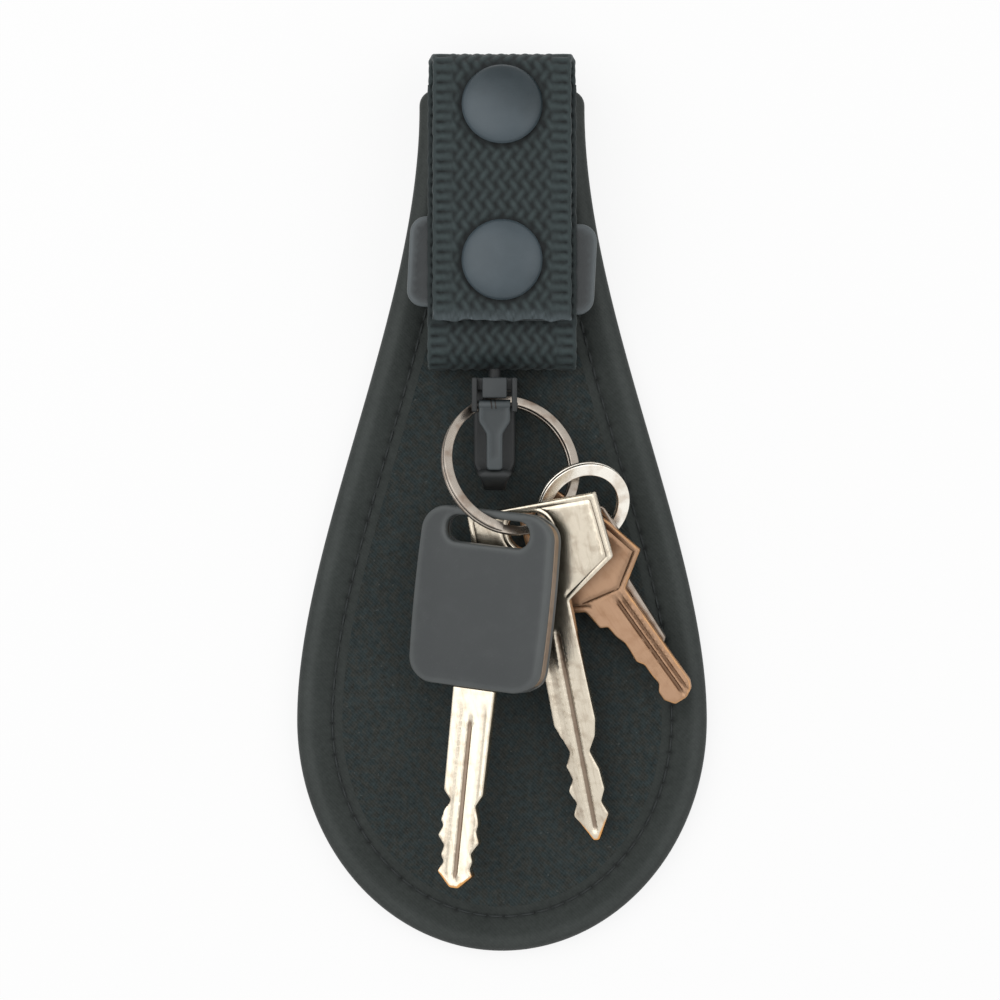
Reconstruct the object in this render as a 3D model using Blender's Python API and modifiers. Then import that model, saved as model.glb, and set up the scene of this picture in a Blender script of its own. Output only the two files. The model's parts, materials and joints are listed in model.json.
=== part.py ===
"""Key ring holder for a belt: a padded pear-shaped flap, a snap-open webbing loop, a swivel
snap hook and a pile of keys on two linked split rings.

The holder lies on its back: X to the right, Y towards the belt loop, Z out of the flap.
Z = 0 is the surface that it lies on, and X = Y = 0 is the middle of its length and width.
"""

import math

import bmesh
import bpy
from mathutils import Euler, Matrix, Vector

MM = 0.001

# Clearances
FIT = 0.3 * MM
RUNNING_FIT = 0.25 * MM
OVERRUN = 1.0 * MM

# Flap outline
FLAP_LENGTH = 163.6 * MM
FLAP_WIDTH = 77.9 * MM
WIDEST_FROM_TIP = 43.9 * MM
BELLY_REACH = 34.6 * MM
NECK_WIDTH = 31.5 * MM
NECK_REACH = 39.6 * MM
NECK_WAIST = 1.4 * MM
NECK_CORNER = 3.0 * MM

# Flap layers
FLAP_THICKNESS = 5.4 * MM
TAPE = 0.7 * MM
PANEL = 0.7 * MM
BINDING_WIDTH = 8.7 * MM
EDGE_ROUND = 2.6 * MM
PUFF = 0.3 * MM
PUFF_WIDTH = 3.0 * MM

# Webbing
WEB_THICKNESS = 1.2 * MM
OUTER_WEB_WIDTH = 25.8 * MM
INNER_WEB_WIDTH = 27.8 * MM
BACK_WEB_WIDTH = 27.8 * MM
WEB_SEPARATION = 1.5 * MM
LOOP_ABOVE_FLAP = 5.8 * MM
LOOP_STAND_OFF = 9.8 * MM
LOOP_DROP = 2.2 * MM
DROP_START_BELOW_TOP = 24.9 * MM
INNER_WEB_START_BELOW_TOP = 0.4 * MM
OUTER_WEB_END_BELOW_TOP = 44.5 * MM
HOOK_FOLD_BELOW_TOP = 53.5 * MM
REAR_LEG_LENGTH = 8.5 * MM
HINGE_PAST_CAP = 0.4 * MM

# Snaps
UPPER_SNAP_BELOW_TOP = 4.4 * MM
LOWER_SNAP_BELOW_TOP = 33.3 * MM
CAP_RADIUS = 7.5 * MM
CAP_HEIGHT = 2.2 * MM
CAP_RIM = 0.6 * MM
CAP_STEM_RADIUS = 1.3 * MM
SOCKET_RADIUS = 5.0 * MM
SOCKET_HEIGHT = 0.9 * MM
SOCKET_BORE = 2.5 * MM
KNOB_RADIUS = 1.9 * MM
KNOB_TOP_SHARE = 0.8
KNOB_HEIGHT = 1.1 * MM
SHANK_RADIUS = 1.5 * MM
POST_RADIUS = 4.2 * MM
POST_THICKNESS = 0.6 * MM
POST_BORE = 0.8 * MM

# Stiffener plate
PLATE_LENGTH = 35.0 * MM
PLATE_WIDTH = 17.0 * MM
PLATE_THICKNESS = 1.2 * MM
PLATE_CORNER = 3.2 * MM
PLATE_BELOW_TOP = 34.1 * MM
PLATE_TURN = math.radians(-3.0)

# Swivel hook
HOOK_X = -1.4 * MM
HOOK_GAP_TO_FLAP = 1.2 * MM
HOOK_WIDTH = 8.4 * MM
SPINE_THICKNESS = 2.1 * MM
HOOK_DEPTH = 12.9 * MM
HOOK_TOP_BELOW_FOLD = 1.7 * MM
HOOK_LENGTH = 20.9 * MM
SWIVEL_WALL = 1.2 * MM
THROAT_BELOW_TOP = 2.4 * MM
BLOCK_FRONT_LENGTH = 3.8 * MM
CHEEK_LENGTH = 6.4 * MM
CHEEK_DEPTH = 2.4 * MM
CHEEK_WIDTH = 1.0 * MM
BLOCK_FRONT_WIDTH = 4.6 * MM
NOSE_WIDTH = 4.4 * MM
NOSE_LENGTH = 3.4 * MM
EYE_BAR_RADIUS = 1.8 * MM
EYE_BAR_LENGTH = 22.0 * MM
STEM_RADIUS = 1.2 * MM
SWIVEL_HEAD_RADIUS = 2.0 * MM
SWIVEL_HEAD_LENGTH = 1.2 * MM

# Gate
GATE_THICKNESS = 1.7 * MM
GATE_WIDE = 5.9 * MM
GATE_NARROW = 3.0 * MM
GATE_WIDE_LENGTH = 3.1 * MM
GATE_TAPER_LENGTH = 2.3 * MM
GATE_SET_BACK = 0.4 * MM
PIVOT_FROM_TOP = 5.1 * MM
KNUCKLE_RADIUS = 1.0 * MM
PIN_RADIUS = 0.5 * MM
SPRING_WIRE = 0.16 * MM
SPRING_PITCH = 0.75 * MM
SPRING_TURNS = 2
SPRING_STEPS_PER_TURN = 10

# Rings: the outer diameters, and the flat wire's width and thickness
MAIN_RING_DIAMETER = 27.0 * MM
MAIN_WIRE_WIDTH = 1.7 * MM
MAIN_WIRE_THICKNESS = 0.78 * MM
SMALL_RING_DIAMETER = 17.7 * MM
SMALL_WIRE_WIDTH = 2.3 * MM
SMALL_WIRE_THICKNESS = 0.6 * MM
TURN_GAP = 0.45 * MM
LEAST_TURN_GAP = 0.4 * MM
RING_STEP = math.radians(30.0)
RING_END_GAP = math.radians(15.0)
POINTS_PER_TURN = 24

# How the rings lie: a tilt about X, then one about Y
MAIN_RING_TILT = (math.radians(-18.0), math.radians(21.5))
MAIN_RING_AT_HOOK = math.radians(97.7)
MAIN_RING_STEP_AT = math.radians(-60.0)
WIRE_BELOW_HOOK_TOP = 4.3 * MM
WIRE_ABOVE_SWIVEL = 2.15 * MM
SMALL_RING_TILT = (math.radians(26.0), math.radians(17.5))
SMALL_RING_FROM_MAIN = (13.7 * MM, -7.5 * MM, -4.8 * MM)
SMALL_RING_STEP_AT = math.radians(-60.0)

# Car key
CAR_HEAD_WIDTH = 25.2 * MM
CAR_HEAD_LENGTH = 34.5 * MM
CAR_HEAD_BULGE = 0.5 * MM
CAR_HEAD_CORNER = 4.5 * MM
CAR_HEAD_THICKNESS = 4.0 * MM
CAR_HEAD_EDGE = 0.9 * MM
CAR_SLOT_WIDTH = 16.3 * MM
CAR_SLOT_HEIGHT = 5.0 * MM
CAR_SLOT_ABOVE_CENTRE = 12.3 * MM
CAR_BLADE_WIDTH = 8.2 * MM
CAR_BLADE_LENGTH = 37.0 * MM
CAR_BLADE_THICKNESS = 2.2 * MM
TANG_WIDTH = 6.0 * MM
TANG_LENGTH = 10.0 * MM

# House keys: head size, blade size and the hole that the ring passes
NICKEL_HEAD_WIDTH = 26.7 * MM
NICKEL_HEAD_TOP_WIDTH = 25.0 * MM
NICKEL_HEAD_LENGTH = 18.3 * MM
NICKEL_SHOULDER = 6.6 * MM
NICKEL_BLADE_WIDTH = 7.8 * MM
NICKEL_BLADE_LENGTH = 46.2 * MM
NICKEL_THICKNESS = 1.9 * MM
NICKEL_HOLE = (8.4 * MM, 6.8 * MM)
NICKEL_HOLE_AT = (-1.6 * MM, 13.9 * MM)

BRASS_HEAD_WIDTH = 20.6 * MM
BRASS_HEAD_MIDDLE_WIDTH = 17.0 * MM
BRASS_HEAD_TOP_WIDTH = 9.4 * MM
BRASS_HEAD_LENGTH = 22.6 * MM
BRASS_MIDDLE = 12.5 * MM
BRASS_SHOULDER = 4.0 * MM
BRASS_BLADE_WIDTH = 7.5 * MM
BRASS_BLADE_LENGTH = 23.0 * MM
BRASS_THICKNESS = 1.8 * MM
BRASS_HOLE = (8.4 * MM, 8.4 * MM)
BRASS_HOLE_AT = (-0.8 * MM, 17.0 * MM)

STEEL_HEAD_WIDTH = 14.2 * MM
STEEL_HEAD_TOP_WIDTH = 9.4 * MM
STEEL_HEAD_LENGTH = 16.9 * MM
STEEL_UPPER_SHOULDER = 14.0 * MM
STEEL_SHOULDER = 4.0 * MM
STEEL_BLADE_WIDTH = 7.8 * MM
STEEL_BLADE_LENGTH = 15.5 * MM
STEEL_THICKNESS = 1.8 * MM
STEEL_HOLE = (8.4 * MM, 6.0 * MM)
STEEL_HOLE_AT = (-1.6 * MM, 12.3 * MM)

# Key cutting
GROOVE_WIDTH = 1.5 * MM
GROOVE_DEPTH = 0.45 * MM
GROOVE_RUN_OUT = 3.0 * MM
CUT_DEPTH = 1.3 * MM
CUT_FLAT_SHARE = 0.35
TIP_LENGTH = 2.6 * MM
TIP_WIDTH = 1.4 * MM

# Where each key hangs: the turn round its ring, how far the wire sits from the middle of
# the key's hole, and how the key lies (turned about Z, then X, then Y)
CAR_KEY_TURN = math.radians(260.0)
CAR_KEY_SLIP = (3.7 * MM, 0.5 * MM)
CAR_KEY_LIE = (math.radians(-5.7), math.radians(2.5), math.radians(-21.5))
NICKEL_KEY_TURN = math.radians(287.0)
NICKEL_KEY_SLIP = (1.4 * MM, 0.5 * MM)
NICKEL_KEY_LIE = (math.radians(11.0), math.radians(8.5), math.radians(-20.0))
BRASS_KEY_TURN = math.radians(227.0)
BRASS_KEY_SLIP = (-0.1 * MM, -0.6 * MM)
BRASS_KEY_LIE = (math.radians(35.5), math.radians(-0.5), math.radians(-10.5))
STEEL_KEY_TURN = math.radians(258.0)
STEEL_KEY_SLIP = (-0.4 * MM, -0.4 * MM)
STEEL_KEY_LIE = (math.radians(32.0), math.radians(0.5), math.radians(-10.5))

# Where the cuts start, as a share of the blade's length
CAR_CUTS_START_SHARE = 0.36
NICKEL_CUTS_START_SHARE = 0.52
BRASS_CUTS_START_SHARE = 0.1
STEEL_CUTS_START_SHARE = 0.1

# Depths of the cuts along each blade, as shares of the deepest
CAR_CUT_SHARES = (0.2, 0.7, 0.3, 0.9, 0.5, 1.0, 0.4, 0.8)
NICKEL_CUT_SHARES = (0.9, 0.4, 1.0, 0.3, 0.8, 0.5)
BRASS_CUT_SHARES = (0.2, 0.6, 0.9, 1.6, 1.9, 2.6)
STEEL_CUT_SHARES = (0.8, 0.3, 1.0, 0.5, 0.7)

BOTTOM_STEPS = 26
SIDE_STEPS = 12
CORNER_STEPS = 3
EDGE_STEPS = 6
ROUND_STEPS = 28
SMALL_STEPS = 16

# Places that follow from the sizes
TIP_Y = -(FLAP_LENGTH + LOOP_ABOVE_FLAP) / 2
FLAP_TOP_Y = TIP_Y + FLAP_LENGTH
WIDEST_Y = TIP_Y + WIDEST_FROM_TIP
PANEL_TOP_Z = FLAP_THICKNESS + PUFF
BACK_WEB_Z = PANEL_TOP_Z + FIT + WEB_THICKNESS / 2
OUTER_WEB_Z = BACK_WEB_Z + WEB_THICKNESS + LOOP_STAND_OFF
INNER_WEB_Z = OUTER_WEB_Z - WEB_SEPARATION - WEB_THICKNESS
LOOP_TOP_Y = FLAP_TOP_Y + LOOP_ABOVE_FLAP
TOP_FOLD_RADIUS = (OUTER_WEB_Z - LOOP_DROP - BACK_WEB_Z) / 2
TOP_FOLD_Y = LOOP_TOP_Y - TOP_FOLD_RADIUS - WEB_THICKNESS / 2
TOP_FOLD_Z = BACK_WEB_Z + TOP_FOLD_RADIUS
DROP_START_Y = FLAP_TOP_Y - DROP_START_BELOW_TOP
UPPER_SNAP_Y = FLAP_TOP_Y - UPPER_SNAP_BELOW_TOP
LOWER_SNAP_Y = FLAP_TOP_Y - LOWER_SNAP_BELOW_TOP
HINGE_Y = UPPER_SNAP_Y + CAP_RADIUS + HINGE_PAST_CAP
HINGE_ANGLE = math.asin((HINGE_Y - TOP_FOLD_Y) / (TOP_FOLD_RADIUS + WEB_THICKNESS / 2))
HINGE_Z = TOP_FOLD_Z + (TOP_FOLD_RADIUS + WEB_THICKNESS / 2) * math.cos(HINGE_ANGLE)
HOOK_FOLD_RADIUS = (INNER_WEB_Z - BACK_WEB_Z) / 2
HOOK_FOLD_END_Y = FLAP_TOP_Y - HOOK_FOLD_BELOW_TOP
HOOK_FOLD_Y = HOOK_FOLD_END_Y + HOOK_FOLD_RADIUS + WEB_THICKNESS / 2
SWIVEL_Z = BACK_WEB_Z + HOOK_FOLD_RADIUS
EYE_BAR_Y = HOOK_FOLD_Y - (HOOK_FOLD_RADIUS - WEB_THICKNESS / 2 - FIT - EYE_BAR_RADIUS)
HOOK_TOP_Y = HOOK_FOLD_END_Y - HOOK_TOP_BELOW_FOLD
SPINE_Z = PANEL_TOP_Z + HOOK_GAP_TO_FLAP
HOOK_FRONT_Z = SPINE_Z + HOOK_DEPTH
BEND_RADIUS = HOOK_DEPTH / 2
BEND_Y = HOOK_TOP_Y - HOOK_LENGTH + BEND_RADIUS
NOSE_END_Y = HOOK_TOP_Y - HOOK_LENGTH + NOSE_LENGTH
PIVOT_Y = HOOK_TOP_Y - PIVOT_FROM_TOP
GATE_Z = HOOK_FRONT_Z - GATE_SET_BACK - GATE_THICKNESS / 2


def srgb(red, green, blue):
    """A linear colour from the 0 to 255 values that a screen shows."""
    def linear(value):
        share = value / 255
        return share / 12.92 if share <= 0.04045 else ((share + 0.055) / 1.055) ** 2.4
    return (linear(red), linear(green), linear(blue), 1.0)


FINISHES = {
    "black_nylon": (srgb(46, 50, 50), 0.85, 0.0),
    "black_binding": (srgb(54, 60, 57), 0.7, 0.0),
    "grey_foam": (srgb(70, 72, 74), 0.95, 0.0),
    "black_webbing": (srgb(48, 58, 60), 0.75, 0.0),
    "snap_enamel": (srgb(66, 78, 86), 0.45, 0.0),
    "plated_steel": (srgb(150, 150, 150), 0.35, 1.0),
    "black_plastic": (srgb(72, 79, 81), 0.4, 0.0),
    "key_head_plastic": (srgb(80, 84, 84), 0.5, 0.0),
    "ring_steel": (srgb(205, 200, 192), 0.25, 1.0),
    "nickel_silver": (srgb(228, 219, 200), 0.3, 1.0),
    "brass": (srgb(190, 150, 118), 0.35, 1.0),
}

objects = bpy.data.collections.new("key_ring_holder")
cutters = bpy.data.collections.new("cutters")


def clear_scene():
    for obj in list(bpy.data.objects):
        bpy.data.objects.remove(obj)
    bpy.context.scene.collection.children.link(objects)
    bpy.context.scene.collection.children.link(cutters)
    cutters.hide_render = True


def finish(obj, finish_name):
    """Gives the object its own material, and sharp edges where its faces meet steeply."""
    colour, roughness, metallic = FINISHES[finish_name]
    material = bpy.data.materials.new(obj.name)
    material.use_nodes = True
    shader = material.node_tree.nodes["Principled BSDF"]
    shader.inputs["Base Color"].default_value = colour
    shader.inputs["Roughness"].default_value = roughness
    shader.inputs["Metallic"].default_value = metallic
    material.diffuse_color = colour
    obj.data.materials.append(material)
    obj.data.shade_smooth()
    obj.data.set_sharp_from_angle(angle=math.radians(35))
    return obj


def mesh_object(name, bm, collection=objects):
    bmesh.ops.recalc_face_normals(bm, faces=bm.faces)
    mesh = bpy.data.meshes.new(name)
    bm.to_mesh(mesh)
    bm.free()
    obj = bpy.data.objects.new(name, mesh)
    collection.objects.link(obj)
    return obj


def loft(name, rings, closed=False):
    """A solid through rings of equally many points, with flat ends or joined end to end."""
    bm = bmesh.new()
    rows = [[bm.verts.new(point) for point in ring] for ring in rings]
    count = len(rows[0])
    steps = len(rows) if closed else len(rows) - 1
    for step in range(steps):
        low, high = rows[step], rows[(step + 1) % len(rows)]
        for i in range(count):
            j = (i + 1) % count
            bm.faces.new((low[i], low[j], high[j], high[i]))
    if not closed:
        bm.faces.new(list(reversed(rows[0])))
        bm.faces.new(rows[-1])
    return mesh_object(name, bm)


def curve_mesh(name, curve, matrix=Matrix(), collection=objects):
    """The closed mesh of a curve, placed by the matrix."""
    holder = bpy.data.objects.new(name + "_curve", curve)
    bpy.context.scene.collection.objects.link(holder)
    graph = bpy.context.evaluated_depsgraph_get()
    mesh = bpy.data.meshes.new_from_object(holder.evaluated_get(graph))
    bpy.data.objects.remove(holder)
    bpy.data.curves.remove(curve)
    mesh.name = name
    bm = bmesh.new()
    bm.from_mesh(mesh)
    bmesh.ops.remove_doubles(bm, verts=bm.verts, dist=MM / 1000)
    bmesh.ops.recalc_face_normals(bm, faces=bm.faces)
    bm.to_mesh(mesh)
    bm.free()
    obj = bpy.data.objects.new(name, mesh)
    obj.matrix_world = matrix
    collection.objects.link(obj)
    return obj


def plate(name, outline, thickness, holes=(), matrix=Matrix(), collection=objects):
    """A flat piece: an outline with its holes, given a thickness about its middle."""
    curve = bpy.data.curves.new(name, "CURVE")
    curve.dimensions = "2D"
    curve.fill_mode = "BOTH"
    curve.extrude = thickness / 2
    for loop in (outline, *holes):
        spline = curve.splines.new("POLY")
        spline.points.add(len(loop) - 1)
        spline.use_cyclic_u = True
        for point, (x, y) in zip(spline.points, loop):
            point.co = (x, y, 0, 1)
    return curve_mesh(name, curve, matrix, collection)


def side_plate(name, outline, width, x=0.0, collection=objects):
    """A piece whose outline lies in Y and Z, as wide as given in X."""
    turn = Euler((math.pi / 2, 0, math.pi / 2)).to_matrix().to_4x4()
    return plate(name, outline, width, (), Matrix.Translation((x, 0, 0)) @ turn, collection)


def turned(name, profile, matrix, steps=ROUND_STEPS):
    """A piece turned about its own Z from a profile of (radius, height), top to bottom."""
    bm = bmesh.new()
    verts = [bm.verts.new((radius, 0, height)) for radius, height in profile]
    for upper, lower in zip(verts, verts[1:]):
        bm.edges.new((upper, lower))
    if profile[0][0] > 0:
        bm.edges.new((verts[-1], verts[0]))
    mesh = bpy.data.meshes.new(name)
    bm.to_mesh(mesh)
    bm.free()
    obj = bpy.data.objects.new(name, mesh)
    objects.objects.link(obj)
    obj.matrix_world = matrix
    screw = obj.modifiers.new("turn", "SCREW")
    screw.steps = steps
    screw.render_steps = steps
    screw.use_merge_vertices = True
    screw.merge_threshold = MM / 100
    screw.use_smooth_shade = True
    return obj


def cutter_box(name, low, high, matrix=Matrix()):
    bm = bmesh.new()
    bmesh.ops.create_cube(bm, size=1)
    size = Vector(high) - Vector(low)
    bmesh.ops.scale(bm, verts=bm.verts, vec=size)
    bmesh.ops.translate(bm, verts=bm.verts, vec=(Vector(low) + Vector(high)) / 2)
    obj = mesh_object(name, bm, cutters)
    obj.matrix_world = matrix
    return hidden(obj)


def rod(name, start, end, radius, steps=SMALL_STEPS, collection=objects):
    """A plain cylinder from one point to another."""
    start, end = Vector(start), Vector(end)
    along = end - start
    bm = bmesh.new()
    bmesh.ops.create_cone(
        bm, cap_ends=True, segments=steps, radius1=radius, radius2=radius, depth=along.length
    )
    obj = mesh_object(name, bm, collection)
    turn = along.to_track_quat("Z", "Y").to_matrix().to_4x4()
    obj.matrix_world = Matrix.Translation((start + end) / 2) @ turn
    return obj


def hidden(obj):
    obj.hide_render = True
    obj.display_type = "WIRE"
    return obj


def join(obj, *others):
    return boolean(obj, "UNION", others)


def cut(obj, *others):
    return boolean(obj, "DIFFERENCE", others)


def boolean(obj, operation, others):
    for other in others:
        if cutters not in other.users_collection:
            objects.objects.unlink(other)
            cutters.objects.link(other)
        modifier = obj.modifiers.new(other.name, "BOOLEAN")
        modifier.operation = operation
        modifier.solver = "EXACT"
        modifier.object = hidden(other)
    return obj


def pivot(name, matrix, parent=None):
    """An empty on a joint's axis, which carries the pieces that move with it."""
    empty = bpy.data.objects.new(name, None)
    empty.empty_display_size = FLAP_THICKNESS
    objects.objects.link(empty)
    if parent:
        empty.parent = parent
        bpy.context.view_layer.update()
        empty.matrix_parent_inverse = parent.matrix_world.inverted()
    empty.matrix_world = matrix
    bpy.context.view_layer.update()
    return empty


def carry(empty, *pieces):
    """Parents pieces to a pivot and leaves them where they are."""
    bpy.context.view_layer.update()
    for piece in pieces:
        helpers = [modifier.object for modifier in piece.modifiers if modifier.type == "BOOLEAN"]
        for obj in (piece, *helpers):
            place = obj.matrix_world.copy()
            obj.parent = empty
            obj.matrix_parent_inverse = empty.matrix_world.inverted()
            obj.matrix_world = place


def arc(centre, radius, start, end, steps):
    """Points along an arc, both ends included."""
    for i in range(steps + 1):
        angle = start + (end - start) * i / steps
        yield (centre[0] + radius * math.cos(angle), centre[1] + radius * math.sin(angle))


def rounded_rectangle(width, height, radius, centre=(0.0, 0.0), bulge=0.0):
    x, y = width / 2 - radius, height / 2 - radius
    points = []
    for i, (sx, sy) in enumerate(((1, 1), (-1, 1), (-1, -1), (1, -1))):
        start = i * math.pi / 2
        corner = (centre[0] + sx * x, centre[1] + sy * y)
        points += arc(corner, radius, start, start + math.pi / 2, CORNER_STEPS + 1)
        if bulge and sx == -1 and sy == 1:
            points.append((centre[0] - width / 2 - bulge, centre[1]))
    if bulge:
        points.append((centre[0] + width / 2 + bulge, centre[1]))
    return points


def flap_side(y):
    """Half the flap's width, and its slope, at a height between the widest point and the top."""
    widths = (FLAP_WIDTH / 2, FLAP_WIDTH / 2, NECK_WIDTH / 2 - NECK_WAIST, NECK_WIDTH / 2)
    heights = (WIDEST_Y, WIDEST_Y + BELLY_REACH, FLAP_TOP_Y - NECK_REACH, FLAP_TOP_Y)

    def bezier(values, t):
        s = 1 - t
        a, b, c, d = values
        return a * s**3 + 3 * b * s * s * t + 3 * c * s * t * t + d * t**3

    def rate(values, t):
        s = 1 - t
        a, b, c, d = values
        return 3 * ((b - a) * s * s + 2 * (c - b) * s * t + (d - c) * t * t)

    low, high = 0.0, 1.0
    for _ in range(40):
        middle = (low + high) / 2
        if bezier(heights, middle) < y:
            low = middle
        else:
            high = middle
    return bezier(widths, low), rate(widths, low) / rate(heights, low)


def flap_outline(inset, z):
    """The flap's outline, drawn in by an inset: up the right side, over the top and round."""
    top = FLAP_TOP_Y - inset
    radius = max(NECK_CORNER - inset, FIT)
    side_top = top - radius
    right = []
    for i in range(SIDE_STEPS + 1):
        y = WIDEST_Y + (side_top - WIDEST_Y) * i / SIDE_STEPS
        half, slope = flap_side(y)
        right.append((half - inset * math.hypot(1, slope), y))
    corner = (right[-1][0] - radius, side_top)
    right += list(arc(corner, radius, 0, math.pi / 2, CORNER_STEPS))[1:]
    left = [(-x, y) for x, y in reversed(right)]
    bottom = []
    for i in range(1, BOTTOM_STEPS):
        angle = math.pi * (1 + i / BOTTOM_STEPS)
        x = (FLAP_WIDTH / 2 - inset) * math.cos(angle)
        bottom.append((x, WIDEST_Y + (WIDEST_FROM_TIP - inset) * math.sin(angle)))
    return [(x, y, z) for x, y in right + left + bottom]


def make_flap():
    """Binding, two fabric panels and the foam between them."""
    middle = FLAP_THICKNESS / 2
    edge = []
    for i in range(EDGE_STEPS + 1):
        angle = math.pi * (i / EDGE_STEPS - 0.5)
        edge.append((EDGE_ROUND * (1 - math.cos(angle)), middle + middle * math.sin(angle)))
    lip_top, lip_bottom = FLAP_THICKNESS - TAPE, TAPE
    section = edge + [
        (BINDING_WIDTH, FLAP_THICKNESS),
        (BINDING_WIDTH, lip_top),
        (EDGE_ROUND, lip_top),
        (TAPE + FIT, middle),
        (EDGE_ROUND, lip_bottom),
        (BINDING_WIDTH, lip_bottom),
        (BINDING_WIDTH, 0.0),
    ]
    binding = loft("flap_edge_binding", [flap_outline(*place) for place in section], closed=True)
    finish(binding, "black_binding")

    rim = EDGE_ROUND + FIT
    field = BINDING_WIDTH + FIT
    back_rim = TAPE + FIT
    back = [(field, 0.0), (field, back_rim), (rim, back_rim), (rim, back_rim + PANEL)]
    finish(loft("flap_back_panel", [flap_outline(*place) for place in back]), "black_nylon")

    foam_low = back_rim + PANEL + FIT
    foam_high = FLAP_THICKNESS - foam_low
    foam = [(rim, foam_low), (rim, foam_high)]
    finish(loft("flap_foam_core", [flap_outline(*place) for place in foam]), "grey_foam")

    front_rim = foam_high + FIT
    front = [
        (rim, front_rim),
        (rim, front_rim + PANEL),
        (field, front_rim + PANEL),
        (field, FLAP_THICKNESS),
        (field + PUFF_WIDTH, PANEL_TOP_Z),
    ]
    finish(loft("flap_front_panel", [flap_outline(*place) for place in front]), "black_nylon")


def front_drop(y):
    """How far the front of the belt loop falls towards its top fold, and its slope there."""
    length = TOP_FOLD_Y - DROP_START_Y
    along = max(0.0, y - DROP_START_Y) / length
    return LOOP_DROP * along * along, 2 * LOOP_DROP * along / length


def web_outline(path):
    """Both faces of a web, from the places (y, z) along its middle."""
    sides = ([], [])
    for i, place in enumerate(path):
        before, after = path[max(i - 1, 0)], path[min(i + 1, len(path) - 1)]
        dy, dz = after[0] - before[0], after[1] - before[1]
        length = math.hypot(dy, dz)
        for side, sign in zip(sides, (0.5, -0.5)):
            offset = sign * WEB_THICKNESS / length
            side.append((place[0] - dz * offset, place[1] + dy * offset))
    return sides[0] + sides[1][::-1]


def front_path(start, end, height, steps=6):
    """The middle of a front web, from near its top fold down to its lower end."""
    path = []
    for i in range(steps + 1):
        y = start + (DROP_START_Y - start) * i / steps
        path.append((y, height - front_drop(y)[0]))
    return path + [(end, height)]


def make_belt_loop(closing_strap):
    """The webbing: a rear leg with the top fold, the snapped front leg, and the inner web."""
    fold = (TOP_FOLD_Y, TOP_FOLD_Z)
    split = math.pi / 2 - HINGE_ANGLE
    split_gap = 2 * FIT / TOP_FOLD_RADIUS
    rear_end = HOOK_FOLD_Y + REAR_LEG_LENGTH + FIT
    rear = [(rear_end, BACK_WEB_Z)]
    rear += arc(fold, TOP_FOLD_RADIUS, -math.pi / 2, split - split_gap, 10)
    back = side_plate("belt_loop_back_web", web_outline(rear), BACK_WEB_WIDTH)
    finish(back, "black_webbing")

    path = list(arc(fold, TOP_FOLD_RADIUS, split, math.pi / 2, 3))[:-1]
    end = FLAP_TOP_Y - OUTER_WEB_END_BELOW_TOP
    path += front_path(TOP_FOLD_Y, end, OUTER_WEB_Z)
    outer = side_plate("belt_loop_outer_web", web_outline(path), OUTER_WEB_WIDTH)
    cut(outer, *snap_holes("outer", CAP_STEM_RADIUS, OUTER_WEB_Z))
    finish(outer, "black_webbing")
    carry(closing_strap, outer)

    path = front_path(FLAP_TOP_Y - INNER_WEB_START_BELOW_TOP, HOOK_FOLD_Y, INNER_WEB_Z)
    fold = (HOOK_FOLD_Y, SWIVEL_Z)
    path += list(arc(fold, HOOK_FOLD_RADIUS, math.pi / 2, math.pi * 1.5, 12))[1:]
    path.append((HOOK_FOLD_Y + REAR_LEG_LENGTH, BACK_WEB_Z))
    inner = side_plate("belt_loop_inner_web", web_outline(path), INNER_WEB_WIDTH)
    stem_hole = rod(
        "stem_hole",
        (HOOK_X, HOOK_FOLD_END_Y - OVERRUN, SWIVEL_Z),
        (HOOK_X, EYE_BAR_Y, SWIVEL_Z),
        STEM_RADIUS + FIT,
        collection=cutters,
    )
    cut(inner, stem_hole, *snap_holes("inner", SHANK_RADIUS, INNER_WEB_Z))
    finish(inner, "black_webbing")


def snap_frame(y, height):
    """The middle of a front web at a snap, tilted as the web is."""
    drop, slope = front_drop(y)
    place = Matrix.Translation((0, y, height - drop))
    return place @ Matrix.Rotation(-math.atan(slope), 4, "X")


def snap_holes(web, radius, height):
    for name, y in (("upper", UPPER_SNAP_Y), ("lower", LOWER_SNAP_Y)):
        frame = snap_frame(y, height)
        reach = WEB_THICKNESS / 2 + OVERRUN
        top, bottom = frame @ Vector((0, 0, reach)), frame @ Vector((0, 0, -reach))
        yield rod(f"{name}_{web}_hole", bottom, top, radius + FIT, collection=cutters)


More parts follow.
